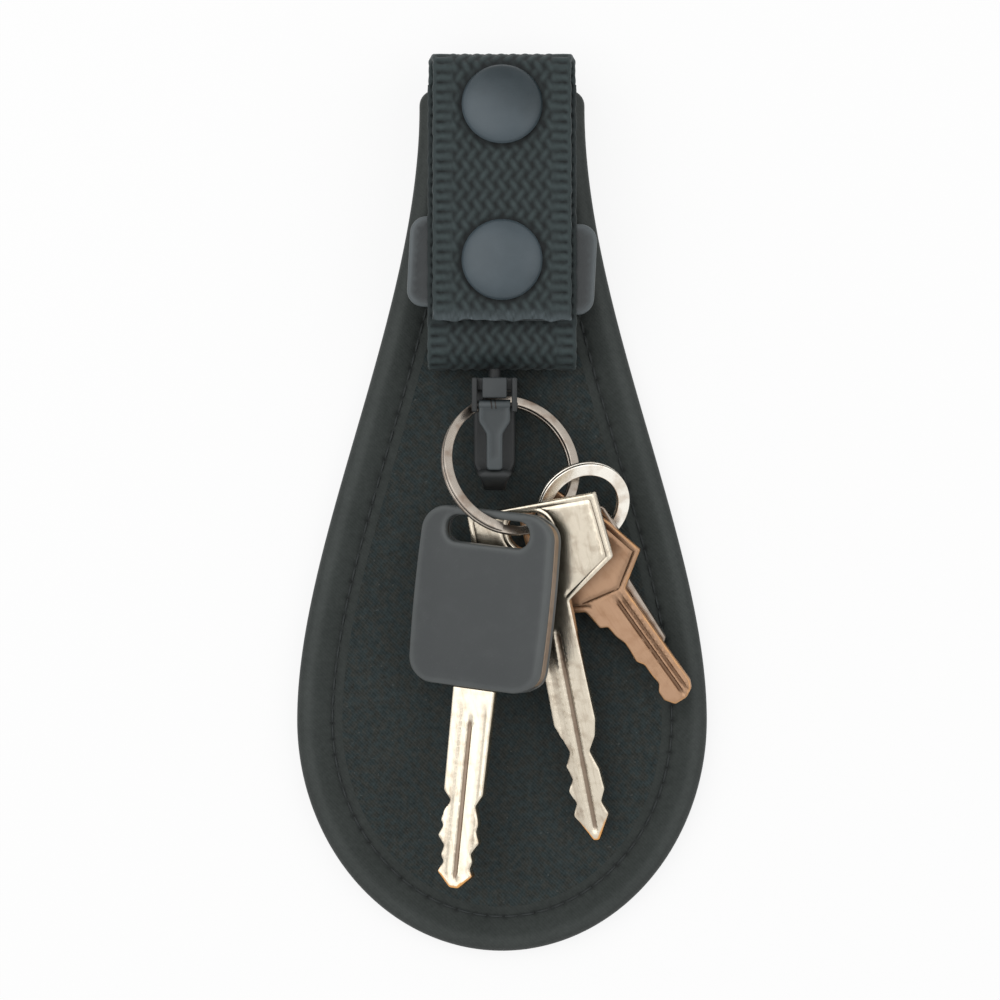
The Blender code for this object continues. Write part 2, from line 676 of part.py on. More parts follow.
def make_snap(position, y, closing_strap):
    """A press snap: cap and socket on the outer web, stud and post on the inner web."""
    half = WEB_THICKNESS / 2
    frame = snap_frame(y, OUTER_WEB_Z)
    base = half + FIT
    dome = []
    for i in range(6):
        angle = math.pi / 2 * (1 - i / 5)
        height = base + CAP_RIM + (CAP_HEIGHT - CAP_RIM) * math.sin(angle)
        dome.append((CAP_RADIUS * math.cos(angle), height))
    stem_end = -half
    dome[0] = (0.0, base + CAP_HEIGHT)
    profile = dome + [
        (CAP_RADIUS, base),
        (CAP_STEM_RADIUS, base),
        (CAP_STEM_RADIUS, stem_end),
        (0.0, stem_end),
    ]
    cap = finish(turned(f"{position}_snap_cap", profile, frame), "snap_enamel")

    socket_top = -half - FIT
    socket_bottom = socket_top - SOCKET_HEIGHT
    profile = [
        (SOCKET_RADIUS, socket_top),
        (SOCKET_RADIUS, socket_bottom),
        (SOCKET_BORE, socket_bottom),
        (SOCKET_BORE, socket_top),
    ]
    socket = finish(turned(f"{position}_snap_socket", profile, frame, 20), "plated_steel")
    carry(closing_strap, cap, socket)

    frame = snap_frame(y, INNER_WEB_Z)
    plate_room = PLATE_THICKNESS + FIT if position == "lower" else 0.0
    post_top = -half - FIT - plate_room
    post_bottom = post_top - POST_THICKNESS
    knob_top = half + KNOB_HEIGHT
    profile = [
        (0.0, knob_top),
        (KNOB_RADIUS * KNOB_TOP_SHARE, knob_top),
        (KNOB_RADIUS, (knob_top + half) / 2),
        (SHANK_RADIUS, half + FIT),
        (SHANK_RADIUS, post_top + FIT),
        (POST_BORE - RUNNING_FIT, post_top + FIT),
        (POST_BORE - RUNNING_FIT, post_bottom),
        (0.0, post_bottom),
    ]
    finish(turned(f"{position}_snap_stud", profile, frame, 20), "plated_steel")
    profile = [
        (POST_RADIUS, post_top),
        (POST_RADIUS, post_bottom),
        (POST_BORE, post_bottom),
        (POST_BORE, post_top),
    ]
    finish(turned(f"{position}_snap_post", profile, frame, 20), "plated_steel")


def make_stiffener():
    top = INNER_WEB_Z - WEB_THICKNESS / 2 - FIT
    place = Matrix.Translation((0, FLAP_TOP_Y - PLATE_BELOW_TOP, top - PLATE_THICKNESS / 2))
    place = place @ Matrix.Rotation(PLATE_TURN, 4, "Z")
    outline = rounded_rectangle(PLATE_LENGTH, PLATE_WIDTH, PLATE_CORNER)
    stiffener = plate("stiffener_plate", outline, PLATE_THICKNESS, (), place)
    hole = rod(
        "plate_hole",
        (0, LOWER_SNAP_Y, top - PLATE_THICKNESS - OVERRUN),
        (0, LOWER_SNAP_Y, top + OVERRUN),
        SHANK_RADIUS + FIT,
        collection=cutters,
    )
    finish(cut(stiffener, hole), "black_plastic")


def make_hook_eye():
    """A bar held in the web's fold, with a stem and a round head that the hook turns on."""
    half = EYE_BAR_LENGTH / 2
    eye = rod(
        "hook_eye",
        (HOOK_X - half, EYE_BAR_Y, SWIVEL_Z),
        (HOOK_X + half, EYE_BAR_Y, SWIVEL_Z),
        EYE_BAR_RADIUS,
    )
    shoulder = HOOK_TOP_Y - SWIVEL_WALL - FIT
    head_end = shoulder - SWIVEL_HEAD_LENGTH
    middle = shoulder - SWIVEL_HEAD_LENGTH / 2
    stem = rod(
        "eye_stem", (HOOK_X, EYE_BAR_Y, SWIVEL_Z), (HOOK_X, middle, SWIVEL_Z), STEM_RADIUS, 20
    )
    head = rod(
        "eye_head",
        (HOOK_X, shoulder, SWIVEL_Z),
        (HOOK_X, head_end, SWIVEL_Z),
        SWIVEL_HEAD_RADIUS,
        20,
    )
    finish(join(eye, stem, head), "black_plastic")


def hook_outline():
    """The hook from its side: spine, bend, nose, and the block that holds the gate's pin."""
    centre = (BEND_Y, SPINE_Z + BEND_RADIUS)
    inner = BEND_RADIUS - SPINE_THICKNESS
    nose_back = NOSE_END_Y - BEND_Y
    outer_end = math.pi / 2 + math.asin(-nose_back / BEND_RADIUS)
    inner_end = math.pi / 2 + math.asin(-nose_back / inner)
    throat_top = HOOK_TOP_Y - THROAT_BELOW_TOP
    cheek_z = HOOK_FRONT_Z - CHEEK_DEPTH
    cheek_y = HOOK_TOP_Y - CHEEK_LENGTH
    outline = [(HOOK_TOP_Y, SPINE_Z)]
    outline += arc(centre, BEND_RADIUS, math.pi * 1.5, outer_end, 12)
    outline += arc(centre, inner, inner_end, math.pi * 1.5, 10)
    outline += [
        (throat_top, SPINE_Z + SPINE_THICKNESS),
        (throat_top, cheek_z),
        (cheek_y, cheek_z),
        (cheek_y, HOOK_FRONT_Z),
        (HOOK_TOP_Y, HOOK_FRONT_Z),
    ]
    return outline


def make_hook(swivel):
    body = side_plate("hook_body", hook_outline(), HOOK_WIDTH, HOOK_X)
    half = HOOK_WIDTH / 2
    block_y = HOOK_TOP_Y - BLOCK_FRONT_LENGTH
    cheek_inner = half - CHEEK_WIDTH
    cheek_z = HOOK_FRONT_Z - CHEEK_DEPTH
    top_y, front_z = HOOK_TOP_Y + OVERRUN, HOOK_FRONT_Z + OVERRUN
    bay = cutter_box(
        "gate_bay",
        (HOOK_X - cheek_inner, HOOK_TOP_Y - CHEEK_LENGTH - OVERRUN, cheek_z - OVERRUN),
        (HOOK_X + cheek_inner, block_y, front_z),
    )
    boxes = [bay]
    for side, sign in (("left", -1), ("right", 1)):
        near, far = sign * NOSE_WIDTH / 2, sign * (half + OVERRUN)
        low, high = sorted((HOOK_X + near, HOOK_X + far))
        tip_y = HOOK_TOP_Y - HOOK_LENGTH
        boxes.append(
            cutter_box(
                f"{side}_nose_side",
                (low, tip_y - OVERRUN, SPINE_Z - OVERRUN),
                (high, BEND_Y, front_z),
            )
        )
        near, far = sign * BLOCK_FRONT_WIDTH / 2, sign * cheek_inner
        low, high = sorted((HOOK_X + near, HOOK_X + far))
        boxes.append(
            cutter_box(f"{side}_recess", (low, block_y - OVERRUN, cheek_z), (high, top_y, front_z))
        )
    throat_top = HOOK_TOP_Y - THROAT_BELOW_TOP
    bore = rod(
        "swivel_bore",
        (HOOK_X, top_y, SWIVEL_Z),
        (HOOK_X, throat_top - FIT, SWIVEL_Z),
        STEM_RADIUS + FIT,
        20,
        cutters,
    )
    counterbore = rod(
        "swivel_counterbore",
        (HOOK_X, HOOK_TOP_Y - SWIVEL_WALL, SWIVEL_Z),
        (HOOK_X, throat_top - OVERRUN, SWIVEL_Z),
        SWIVEL_HEAD_RADIUS + FIT,
        20,
        cutters,
    )
    pin_hole = rod(
        "pin_hole",
        (HOOK_X - half - OVERRUN, PIVOT_Y, GATE_Z),
        (HOOK_X + half + OVERRUN, PIVOT_Y, GATE_Z),
        PIN_RADIUS + RUNNING_FIT,
        12,
        cutters,
    )
    cut(body, *boxes, bore, counterbore, pin_hole)
    finish(body, "black_plastic")
    pin = rod(
        "gate_pin",
        (HOOK_X - half, PIVOT_Y, GATE_Z),
        (HOOK_X + half, PIVOT_Y, GATE_Z),
        PIN_RADIUS,
        12,
    )
    finish(pin, "plated_steel")
    carry(swivel, body, pin)


def make_gate(gate_pivot):
    wide, narrow = GATE_WIDE / 2, GATE_NARROW / 2
    wide_end = PIVOT_Y - GATE_WIDE_LENGTH
    taper_end = wide_end - GATE_TAPER_LENGTH
    tip = NOSE_END_Y + FIT
    right = [(wide, PIVOT_Y), (wide, wide_end), (narrow, taper_end), (narrow, tip)]
    outline = [(HOOK_X + x, y) for x, y in right]
    outline += [(HOOK_X - x, y) for x, y in reversed(right)]
    gate = plate("hook_gate", outline, GATE_THICKNESS, (), Matrix.Translation((0, 0, GATE_Z)))
    knuckle = rod(
        "gate_knuckle",
        (HOOK_X - wide, PIVOT_Y, GATE_Z),
        (HOOK_X + wide, PIVOT_Y, GATE_Z),
        KNUCKLE_RADIUS,
    )
    room = KNUCKLE_RADIUS + FIT
    spring_length = SPRING_TURNS * SPRING_PITCH + 2 * SPRING_WIRE
    spring_bay = cutter_box(
        "spring_bay",
        (HOOK_X - spring_length / 2 - FIT, PIVOT_Y - room, GATE_Z - room),
        (HOOK_X + spring_length / 2 + FIT, PIVOT_Y + room, GATE_Z + room),
    )
    hole = rod(
        "gate_pin_hole",
        (HOOK_X - wide - OVERRUN, PIVOT_Y, GATE_Z),
        (HOOK_X + wide + OVERRUN, PIVOT_Y, GATE_Z),
        PIN_RADIUS + RUNNING_FIT,
        12,
        cutters,
    )
    join(gate, knuckle)
    cut(gate, spring_bay, hole)
    finish(gate, "black_plastic")

    radius = PIN_RADIUS + RUNNING_FIT + SPRING_WIRE
    points = []
    for i in range(SPRING_TURNS * SPRING_STEPS_PER_TURN + 1):
        turns = i / SPRING_STEPS_PER_TURN
        angle = 2 * math.pi * turns
        x = HOOK_X + SPRING_PITCH * (turns - SPRING_TURNS / 2)
        points.append((x, PIVOT_Y + radius * math.cos(angle), GATE_Z + radius * math.sin(angle)))
    spring = tube("gate_spring", points, SPRING_WIRE)
    finish(spring, "plated_steel")
    carry(gate_pivot, gate, spring)


def tube(name, points, radius, matrix=Matrix()):
    curve = bpy.data.curves.new(name, "CURVE")
    curve.dimensions = "3D"
    curve.bevel_depth = radius
    curve.bevel_resolution = 1
    curve.use_fill_caps = True
    curve.twist_mode = "Z_UP"
    spline = curve.splines.new("POLY")
    spline.points.add(len(points) - 1)
    for point, place in zip(spline.points, points):
        point.co = (*place, 1)
    return curve_mesh(name, curve, matrix)


def ring_points(radius, pitch, start):
    """A split ring's wire: one turn, a step up to the next layer, and most of a second turn."""
    step = 2 * math.pi / POINTS_PER_TURN
    steps = round((4 * math.pi - RING_STEP - RING_END_GAP) / step)
    points = []
    for i in range(steps + 1):
        angle = step * i
        rise = min(max((angle - 2 * math.pi + RING_STEP) / RING_STEP, 0.0), 1.0)
        height = pitch * (rise * rise * (3 - 2 * rise) - 0.5)
        turn = start + angle
        points.append(Vector((radius * math.cos(turn), radius * math.sin(turn), height)))
    return points


def least_gap(points, thickness):
    """The least space between two turns, which lie on each other: across and between faces."""
    least = math.inf
    for i, a in enumerate(points):
        for b in points[i + POINTS_PER_TURN // 2 :]:
            apart = b - a
            between = max(abs(apart.z) - thickness, 0.0)
            least = min(least, math.hypot(apart.x, apart.y, between))
    return least


def make_split_ring(name, diameter, width, thickness, step_at, frame, carrier):
    """Two turns of flat wire: a round tube along the turns, flattened across them."""
    pitch = thickness + TURN_GAP
    radius = (diameter - width) / 2
    points = ring_points(radius, pitch, step_at)
    gap = least_gap(points, thickness)
    print(f"{name}: least gap between its turns {gap / MM:.2f} mm")
    if gap < LEAST_TURN_GAP:
        print(f"{name}: its turns lie closer than {LEAST_TURN_GAP / MM:.2f} mm")
    flatten = thickness / width
    stretched = [Vector((point.x, point.y, point.z / flatten)) for point in points]
    squash = Matrix.Diagonal((1, 1, flatten, 1))
    ring = tube(name, stretched, width / 2, frame @ squash)
    ring.data.transform(squash)
    ring.matrix_world = frame
    finish(ring, "ring_steel")
    carry(carrier, ring)


def ring_frame(centre, tilt):
    turn = Matrix.Rotation(tilt[1], 4, "Y") @ Matrix.Rotation(tilt[0], 4, "X")
    return Matrix.Translation(centre) @ turn


def main_ring_frame():
    """The large ring's middle, worked out from where its wire passes the hook's throat."""
    radius = (MAIN_RING_DIAMETER - MAIN_WIRE_WIDTH) / 2
    wire = Vector((HOOK_X, HOOK_TOP_Y - WIRE_BELOW_HOOK_TOP, SWIVEL_Z + WIRE_ABOVE_SWIVEL))
    angle = MAIN_RING_AT_HOOK
    out = Vector((radius * math.cos(angle), radius * math.sin(angle), 0))
    turn = ring_frame((0, 0, 0), MAIN_RING_TILT)
    return ring_frame(wire - turn @ out, MAIN_RING_TILT)


def key_frame(ring, radius, angle, slip, lie):
    """A key's hole, from the turn round its ring and how the wire sits in the hole."""
    lean, pitch, roll = lie
    turn = Matrix.Rotation(lean, 4, "Z") @ Matrix.Rotation(pitch, 4, "X")
    turn = turn @ Matrix.Rotation(roll, 4, "Y")
    wire = ring @ Vector((radius * math.cos(angle), radius * math.sin(angle), 0))
    return Matrix.Translation(wire - turn @ Vector((*slip, 0))) @ turn


def cut_edge(half, shoulder, length, shares):
    """One edge of a key's blade, from the head down to the tip, with its cuts."""
    run = length - shoulder - TIP_LENGTH
    pitch = run / len(shares)
    edge = [(half, -shoulder)]
    for i, share in enumerate(shares):
        middle = -shoulder - (i + 0.5) * pitch
        x = half - share * CUT_DEPTH
        flat = CUT_FLAT_SHARE * pitch / 2
        edge += [(x, middle + flat), (x, middle - flat)]
    return edge


def blade_outline(width, length, right_shares, left_shares, shoulder):
    """A blade below y = 0, wider than its tip, with cuts on either edge or both."""
    half = width / 2
    sides = []
    for shares in (right_shares, left_shares):
        if shares:
            edge = cut_edge(half, shoulder, length, shares)
        else:
            edge = [(half, -length + TIP_LENGTH)]
        sides.append(edge + [(TIP_WIDTH / 2, -length)])
    return sides[0], [(-x, y) for x, y in reversed(sides[1])]


def make_house_key(name, head, sizes, shares, hole, hole_at, finish_name, frame, carrier):
    """A flat key, drawn from its shoulder and then moved so that its hole is at the pivot."""
    width, length, thickness = sizes
    right, left = blade_outline(width, length, shares[0], shares[1], length * shares[2])
    half = width / 2
    outline = [(x, y) for x, y in head] + [(half, 0.0)] + right
    outline += left + [(-half, 0.0)] + [(-x, y) for x, y in reversed(head)]
    moved = [(x - hole_at[0], y - hole_at[1]) for x, y in outline]
    corner = min(hole) / 2 - FIT
    opening = rounded_rectangle(hole[0], hole[1], corner)
    key = plate(name, moved, thickness, (opening,), frame)
    middle, shoulder = -hole_at[0], -hole_at[1]
    low = (middle - GROOVE_WIDTH / 2, shoulder - length + TIP_LENGTH, thickness / 2 - GROOVE_DEPTH)
    high = (middle + GROOVE_WIDTH / 2, shoulder - GROOVE_RUN_OUT, thickness / 2 + OVERRUN)
    groove = cutter_box(name + "_groove", low, high, frame)
    finish(cut(key, groove), finish_name)
    carry(carrier, key)
    return key


def make_car_key(frame, carrier):
    """A metal blade whose tang sits in a moulded head with a wide slot for the ring."""
    centre = (0.0, -CAR_SLOT_ABOVE_CENTRE)
    outline = rounded_rectangle(
        CAR_HEAD_WIDTH, CAR_HEAD_LENGTH, CAR_HEAD_CORNER, centre, CAR_HEAD_BULGE
    )
    slot = rounded_rectangle(CAR_SLOT_WIDTH, CAR_SLOT_HEIGHT, CAR_SLOT_HEIGHT / 2 - FIT / 2)
    head = plate("car_key_head", outline, CAR_HEAD_THICKNESS, (slot,), frame)
    bevel = head.modifiers.new("soft_edges", "BEVEL")
    bevel.width = CAR_HEAD_EDGE
    bevel.segments = 2
    bevel.limit_method = "ANGLE"
    bevel.angle_limit = math.radians(60)
    head_end = -CAR_SLOT_ABOVE_CENTRE - CAR_HEAD_LENGTH / 2
    tang_top = head_end + TANG_LENGTH
    deep = CAR_BLADE_THICKNESS / 2 + FIT
    pocket = cutter_box(
        "tang_pocket",
        (-TANG_WIDTH / 2 - FIT, head_end - OVERRUN, -deep),
        (TANG_WIDTH / 2 + FIT, tang_top + FIT, deep),
        frame,
    )
    finish(cut(head, pocket), "key_head_plastic")

    top = head_end - FIT
    length = CAR_BLADE_LENGTH
    right, left = blade_outline(
        CAR_BLADE_WIDTH, length, CAR_CUT_SHARES, CAR_CUT_SHARES[::-1], length * CAR_CUTS_START_SHARE
    )
    half, tang = CAR_BLADE_WIDTH / 2, TANG_WIDTH / 2
    outline = [(tang, tang_top), (tang, top), (half, top)]
    outline += [(x, y + top) for x, y in right + left]
    outline += [(-half, top), (-tang, top), (-tang, tang_top)]
    blade = plate("car_key_blade", outline, CAR_BLADE_THICKNESS, (), frame)
    groove = cutter_box(
        "car_key_groove",
        (-GROOVE_WIDTH / 2, top - length + TIP_LENGTH, CAR_BLADE_THICKNESS / 2 - GROOVE_DEPTH),
        (GROOVE_WIDTH / 2, top - GROOVE_RUN_OUT, CAR_BLADE_THICKNESS / 2 + OVERRUN),
        frame,
    )
    finish(cut(blade, groove), "nickel_silver")
    carry(carrier, head, blade)


def make_rings_and_keys():
    """Both rings and the keys on them, each on a pivot of its own."""
    main_frame = main_ring_frame()
    main_radius = (MAIN_RING_DIAMETER - MAIN_WIRE_WIDTH) / 2
    small_radius = (SMALL_RING_DIAMETER - SMALL_WIRE_WIDTH) / 2
    small_frame = ring_frame(main_frame.translation + Vector(SMALL_RING_FROM_MAIN), SMALL_RING_TILT)
    wire = Vector((HOOK_X, HOOK_TOP_Y - WIRE_BELOW_HOOK_TOP, SWIVEL_Z + WIRE_ABOVE_SWIVEL))
    main_ring = pivot("main_ring_pivot", Matrix.Translation(wire))
    small_ring = pivot("small_ring_pivot", small_frame, main_ring)
    make_split_ring(
        "split_ring_large",
        MAIN_RING_DIAMETER,
        MAIN_WIRE_WIDTH,
        MAIN_WIRE_THICKNESS,
        MAIN_RING_STEP_AT,
        main_frame,
        main_ring,
    )
    make_split_ring(
        "split_ring_small",
        SMALL_RING_DIAMETER,
        SMALL_WIRE_WIDTH,
        SMALL_WIRE_THICKNESS,
        SMALL_RING_STEP_AT,
        small_frame,
        small_ring,
    )

    frame = key_frame(main_frame, main_radius, CAR_KEY_TURN, CAR_KEY_SLIP, CAR_KEY_LIE)
    make_car_key(frame, pivot("car_key_pivot", main_frame, main_ring))

    frame = key_frame(main_frame, main_radius, NICKEL_KEY_TURN, NICKEL_KEY_SLIP, NICKEL_KEY_LIE)
    head = [
        (NICKEL_HEAD_TOP_WIDTH / 2, NICKEL_HEAD_LENGTH),
        (NICKEL_HEAD_WIDTH / 2, NICKEL_SHOULDER),
    ]
    make_house_key(
        "nickel_key",
        head,
        (NICKEL_BLADE_WIDTH, NICKEL_BLADE_LENGTH, NICKEL_THICKNESS),
        (NICKEL_CUT_SHARES, NICKEL_CUT_SHARES[::-1], NICKEL_CUTS_START_SHARE),
        NICKEL_HOLE,
        NICKEL_HOLE_AT,
        "nickel_silver",
        frame,
        pivot("nickel_key_pivot", frame, main_ring),
    )

    frame = key_frame(small_frame, small_radius, BRASS_KEY_TURN, BRASS_KEY_SLIP, BRASS_KEY_LIE)
    head = [
        (BRASS_HEAD_TOP_WIDTH / 2, BRASS_HEAD_LENGTH),
        (BRASS_HEAD_MIDDLE_WIDTH / 2, BRASS_MIDDLE),
        (BRASS_HEAD_WIDTH / 2, BRASS_SHOULDER),
    ]
    make_house_key(
        "brass_key",
        head,
        (BRASS_BLADE_WIDTH, BRASS_BLADE_LENGTH, BRASS_THICKNESS),
        ((), BRASS_CUT_SHARES, BRASS_CUTS_START_SHARE),
        BRASS_HOLE,
        BRASS_HOLE_AT,
        "brass",
        frame,
        pivot("brass_key_pivot", frame, small_ring),
    )

    frame = key_frame(small_frame, small_radius, STEEL_KEY_TURN, STEEL_KEY_SLIP, STEEL_KEY_LIE)
    head = [
        (STEEL_HEAD_TOP_WIDTH / 2, STEEL_HEAD_LENGTH),
        (STEEL_HEAD_WIDTH / 2, STEEL_UPPER_SHOULDER),
        (STEEL_HEAD_WIDTH / 2, STEEL_SHOULDER),
    ]
    make_house_key(
        "steel_key",
        head,
        (STEEL_BLADE_WIDTH, STEEL_BLADE_LENGTH, STEEL_THICKNESS),
        ((), STEEL_CUT_SHARES, STEEL_CUTS_START_SHARE),
        STEEL_HOLE,
        STEEL_HOLE_AT,
        "plated_steel",
        frame,
        pivot("steel_key_pivot", frame, small_ring),
    )


def main():
    clear_scene()
    make_flap()
    closing_strap = pivot("closing_strap_pivot", Matrix.Translation((0, HINGE_Y, HINGE_Z)))
    make_belt_loop(closing_strap)
    make_snap("upper", UPPER_SNAP_Y, closing_strap)
    make_snap("lower", LOWER_SNAP_Y, closing_strap)
    make_stiffener()
    make_hook_eye()
    swivel = pivot("swivel_pivot", Matrix.Translation((HOOK_X, HOOK_TOP_Y, SWIVEL_Z)))
    make_hook(swivel)
    gate_place = Matrix.Translation((HOOK_X, PIVOT_Y, GATE_Z))
    make_gate(pivot("gate_pivot", gate_place, swivel))
    make_rings_and_keys()


main()
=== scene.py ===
"""The looks of a key ring holder: cloth, webbing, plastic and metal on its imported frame.

Lengths are in metres: X to the right, Y towards the belt loop, Z out of the flap.
"""

import json
import math

import bmesh
import bpy
import numpy as np
from mathutils import Matrix, Vector
from mathutils.geometry import delaunay_2d_cdt


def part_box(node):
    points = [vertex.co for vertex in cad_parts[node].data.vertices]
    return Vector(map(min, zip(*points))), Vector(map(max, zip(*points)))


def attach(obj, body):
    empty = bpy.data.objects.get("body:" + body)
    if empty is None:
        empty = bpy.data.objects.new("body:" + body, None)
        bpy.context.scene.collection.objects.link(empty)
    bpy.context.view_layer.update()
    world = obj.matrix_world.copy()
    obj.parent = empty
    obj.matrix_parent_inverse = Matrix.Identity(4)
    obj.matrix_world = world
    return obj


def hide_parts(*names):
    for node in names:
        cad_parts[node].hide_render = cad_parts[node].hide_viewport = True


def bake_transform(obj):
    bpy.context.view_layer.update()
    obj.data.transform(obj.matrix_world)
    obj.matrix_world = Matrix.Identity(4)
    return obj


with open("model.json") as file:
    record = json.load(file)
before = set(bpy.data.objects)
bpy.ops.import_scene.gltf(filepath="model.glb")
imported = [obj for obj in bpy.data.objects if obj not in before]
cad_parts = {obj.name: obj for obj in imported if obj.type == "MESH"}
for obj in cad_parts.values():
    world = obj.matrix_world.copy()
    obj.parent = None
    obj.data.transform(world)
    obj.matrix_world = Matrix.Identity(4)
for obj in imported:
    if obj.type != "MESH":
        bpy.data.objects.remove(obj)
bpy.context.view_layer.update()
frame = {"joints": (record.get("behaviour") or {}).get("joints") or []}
joints = {joint["name"]: joint for joint in frame["joints"]}

MM = 0.001


def mm(*lengths):
    """Lengths that are written in millimetres."""
    return tuple(length * MM for length in lengths)


# The photograph: its width and middle at the flap's height, and the camera's height above that
PHOTO_WIDTH = 190 * MM
PHOTO_CENTRE = mm(-0.38, 0.99)
PHOTO_PLANE = 3 * MM
CAMERA_HEIGHT = 650 * MM

# Flap
FLAP_LOW, FLAP_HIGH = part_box("flap_edge_binding")
FLAP_THICKNESS = FLAP_HIGH.z
WIDEST_Y = FLAP_LOW.y + 43.9 * MM
BELLY_REACH = 34.6 * MM
NECK_REACH = 39.6 * MM
NECK_HALF = 15.75 * MM
WAIST_HALF = 14.35 * MM
NECK_CORNER = 3.0 * MM
BINDING_WIDTH = 8.7 * MM
SEAM_INSET = 6.8 * MM
SEAM_PITCH = 3.0 * MM
FRONT_ROLL = 3.0 * MM
BACK_ROLL = 2.6 * MM
TWILL_PITCH = 0.52 * MM
# How far from the flap's edge its mesh has rows of points
FLAP_ROWS = mm(0.12, 0.4, 0.9, 1.6, 2.4, 3.4, 4.4, 5.4, 6.1)
FLAP_ROWS += mm(6.5, 6.8, 7.1, 7.5, 8.2, 8.7, 9.2, 10.2, 12.0)
# Ridges and the seam's groove on its front: how high, how far from the edge and how wide
FLAP_RIDGES = [
    mm(0.22, 3.6, 1.6), (-0.3 * MM, SEAM_INSET, 0.7 * MM), (0.2 * MM, BINDING_WIDTH, 0.7 * MM)
]

# Webbing
OUTER_LOW, OUTER_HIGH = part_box("belt_loop_outer_web")
INNER_LOW, INNER_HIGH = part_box("belt_loop_inner_web")
BACK_LOW, BACK_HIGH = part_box("belt_loop_back_web")
WEB_THICKNESS = 1.2 * MM
LOOP_DROP = 2.2 * MM
DROP_START_Y = FLAP_HIGH.y - 24.9 * MM
BACK_WEB_Z = BACK_LOW.z + WEB_THICKNESS / 2
OUTER_WEB_Z = OUTER_HIGH.z - WEB_THICKNESS / 2
INNER_WEB_Z = INNER_HIGH.z - WEB_THICKNESS / 2
TOP_FOLD_RADIUS = (OUTER_WEB_Z - LOOP_DROP - BACK_WEB_Z) / 2
TOP_FOLD_Y = BACK_HIGH.y - WEB_THICKNESS / 2 - TOP_FOLD_RADIUS
HOOK_FOLD_RADIUS = (INNER_WEB_Z - BACK_WEB_Z) / 2
HOOK_FOLD_Y = INNER_LOW.y + WEB_THICKNESS / 2 + HOOK_FOLD_RADIUS
YARN_PITCH = 2.25 * MM
RIB_PITCH = 1.87 * MM
BORDER_WIDTH = 3.7 * MM
SELVAGE = 1.0 * MM
YARN_SIZE = mm(0.72, 1.35, 0.34)
YARN_LEANS = (-0.45, 0.5)
YARN_MEAN = 0.62
WEB_EDGE = 0.55 * MM
MELT_REACH = 1.5 * MM
WEB_STEP = 0.3 * MM
WEB_COLUMNS = 88

# Snaps
SNAP_DROPS = {"upper": 4.4 * MM, "lower": 33.3 * MM}
SNAP_YS = {position: FLAP_HIGH.y - drop for position, drop in SNAP_DROPS.items()}
CAP_RADIUS = 7.5 * MM
CAP_HEIGHT = 2.35 * MM
CAP_RIM = 0.42 * MM

# Plate behind the web: width, height and corner radius, its drop from the flap's top and its turn
PLATE_SIZE = mm(35.0, 17.0, 3.2)
PLATE_THICKNESS = 1.2 * MM
PLATE_DROP = 34.1 * MM
PLATE_TURN = -3.0

# Hook
HOOK_LOW, HOOK_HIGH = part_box("hook_body")
HOOK_X = (HOOK_LOW.x + HOOK_HIGH.x) / 2
HOOK_WIDTH = HOOK_HIGH.x - HOOK_LOW.x
SWIVEL_Z = joints["hook_swivel"]["pos_m"][2]
SPINE_THICKNESS = 2.1 * MM
BEND_RADIUS = (HOOK_HIGH.z - HOOK_LOW.z) / 2
BEND_Y = HOOK_LOW.y + BEND_RADIUS
NOSE_WIDTH = 4.4 * MM
CHEEK = 1.0 * MM
CHEEK_DEPTH = 2.4 * MM
BLOCK_HALF = 2.3 * MM
GATE_THICKNESS = 1.7 * MM
GATE_WIDE, GATE_NARROW = 5.9 * MM / 2, 3.0 * MM / 2
PIVOT_Y, GATE_Z = joints["gate_open"]["pos_m"][1:]

# Rings: outer diameter, wire width and thickness, then their tilt about X and about Y
MAIN_RING = mm(27.0, 1.7, 0.78)
SMALL_RING = mm(17.7, 2.3, 0.6)
TURN_GAP = 0.45 * MM
MAIN_RING_TILT = (-18.0, 21.5)
SMALL_RING_TILT = (26.0, 17.5)

# How each key hangs: the turn round its ring, how the wire sits in its hole, and how it lies
CAR_KEY_HANGS = (260.0, mm(3.7, 0.5), (-5.7, 2.5, -21.5))
NICKEL_KEY_HANGS = (287.0, mm(1.4, 0.5), (11.0, 8.5, -20.0))
BRASS_KEY_HANGS = (227.0, mm(-0.1, -0.6), (35.5, -0.5, -10.5))
STEEL_KEY_HANGS = (258.0, mm(-0.4, -0.4), (32.0, 0.5, -10.5))
KEY_CORNER = 0.35 * MM

# The car key's head: its middle, size and corner radius, how far its sides bow, and its slot
HEAD_CENTRE = (0.0, -12.95 * MM)
HEAD_SIZE = mm(25.2, 33.2)
HEAD_CORNER = 4.6 * MM
HEAD_BOW = 0.5 * MM
HEAD_HALF = 1.75 * MM
CORE_HALF = 0.5 * MM
SLOT_CENTRE = mm(0.4, -0.35)

# Room: half the floor's size, its paint, its glow and how much of that shows, the light that
# the room itself gives, and each lamp's place, size and power
WHITE = (1, 1, 1, 1)
FLOOR_HALF = 1.5
FLOOR_PAINT = (0.9, 0.9, 0.9, 1)
FLOOR_GLOW, GLOW_SHARE = 1.05, 0.8
ROOM_STRENGTH = 0.45
LIGHTS = {
    "window_light": ((-0.45, 0.2, 0.9), 1.1, 4.2),
    "fill_light": ((0.6, 0.1, 0.75), 0.7, 1.4),
}


def screen(red, green, blue):
    """A colour from the 0 to 255 values that a screen shows."""
    def linear(value):
        share = value / 255
        return share / 12.92 if share <= 0.04045 else ((share + 0.055) / 1.055) ** 2.4
    return (linear(red), linear(green), linear(blue), 1.0)


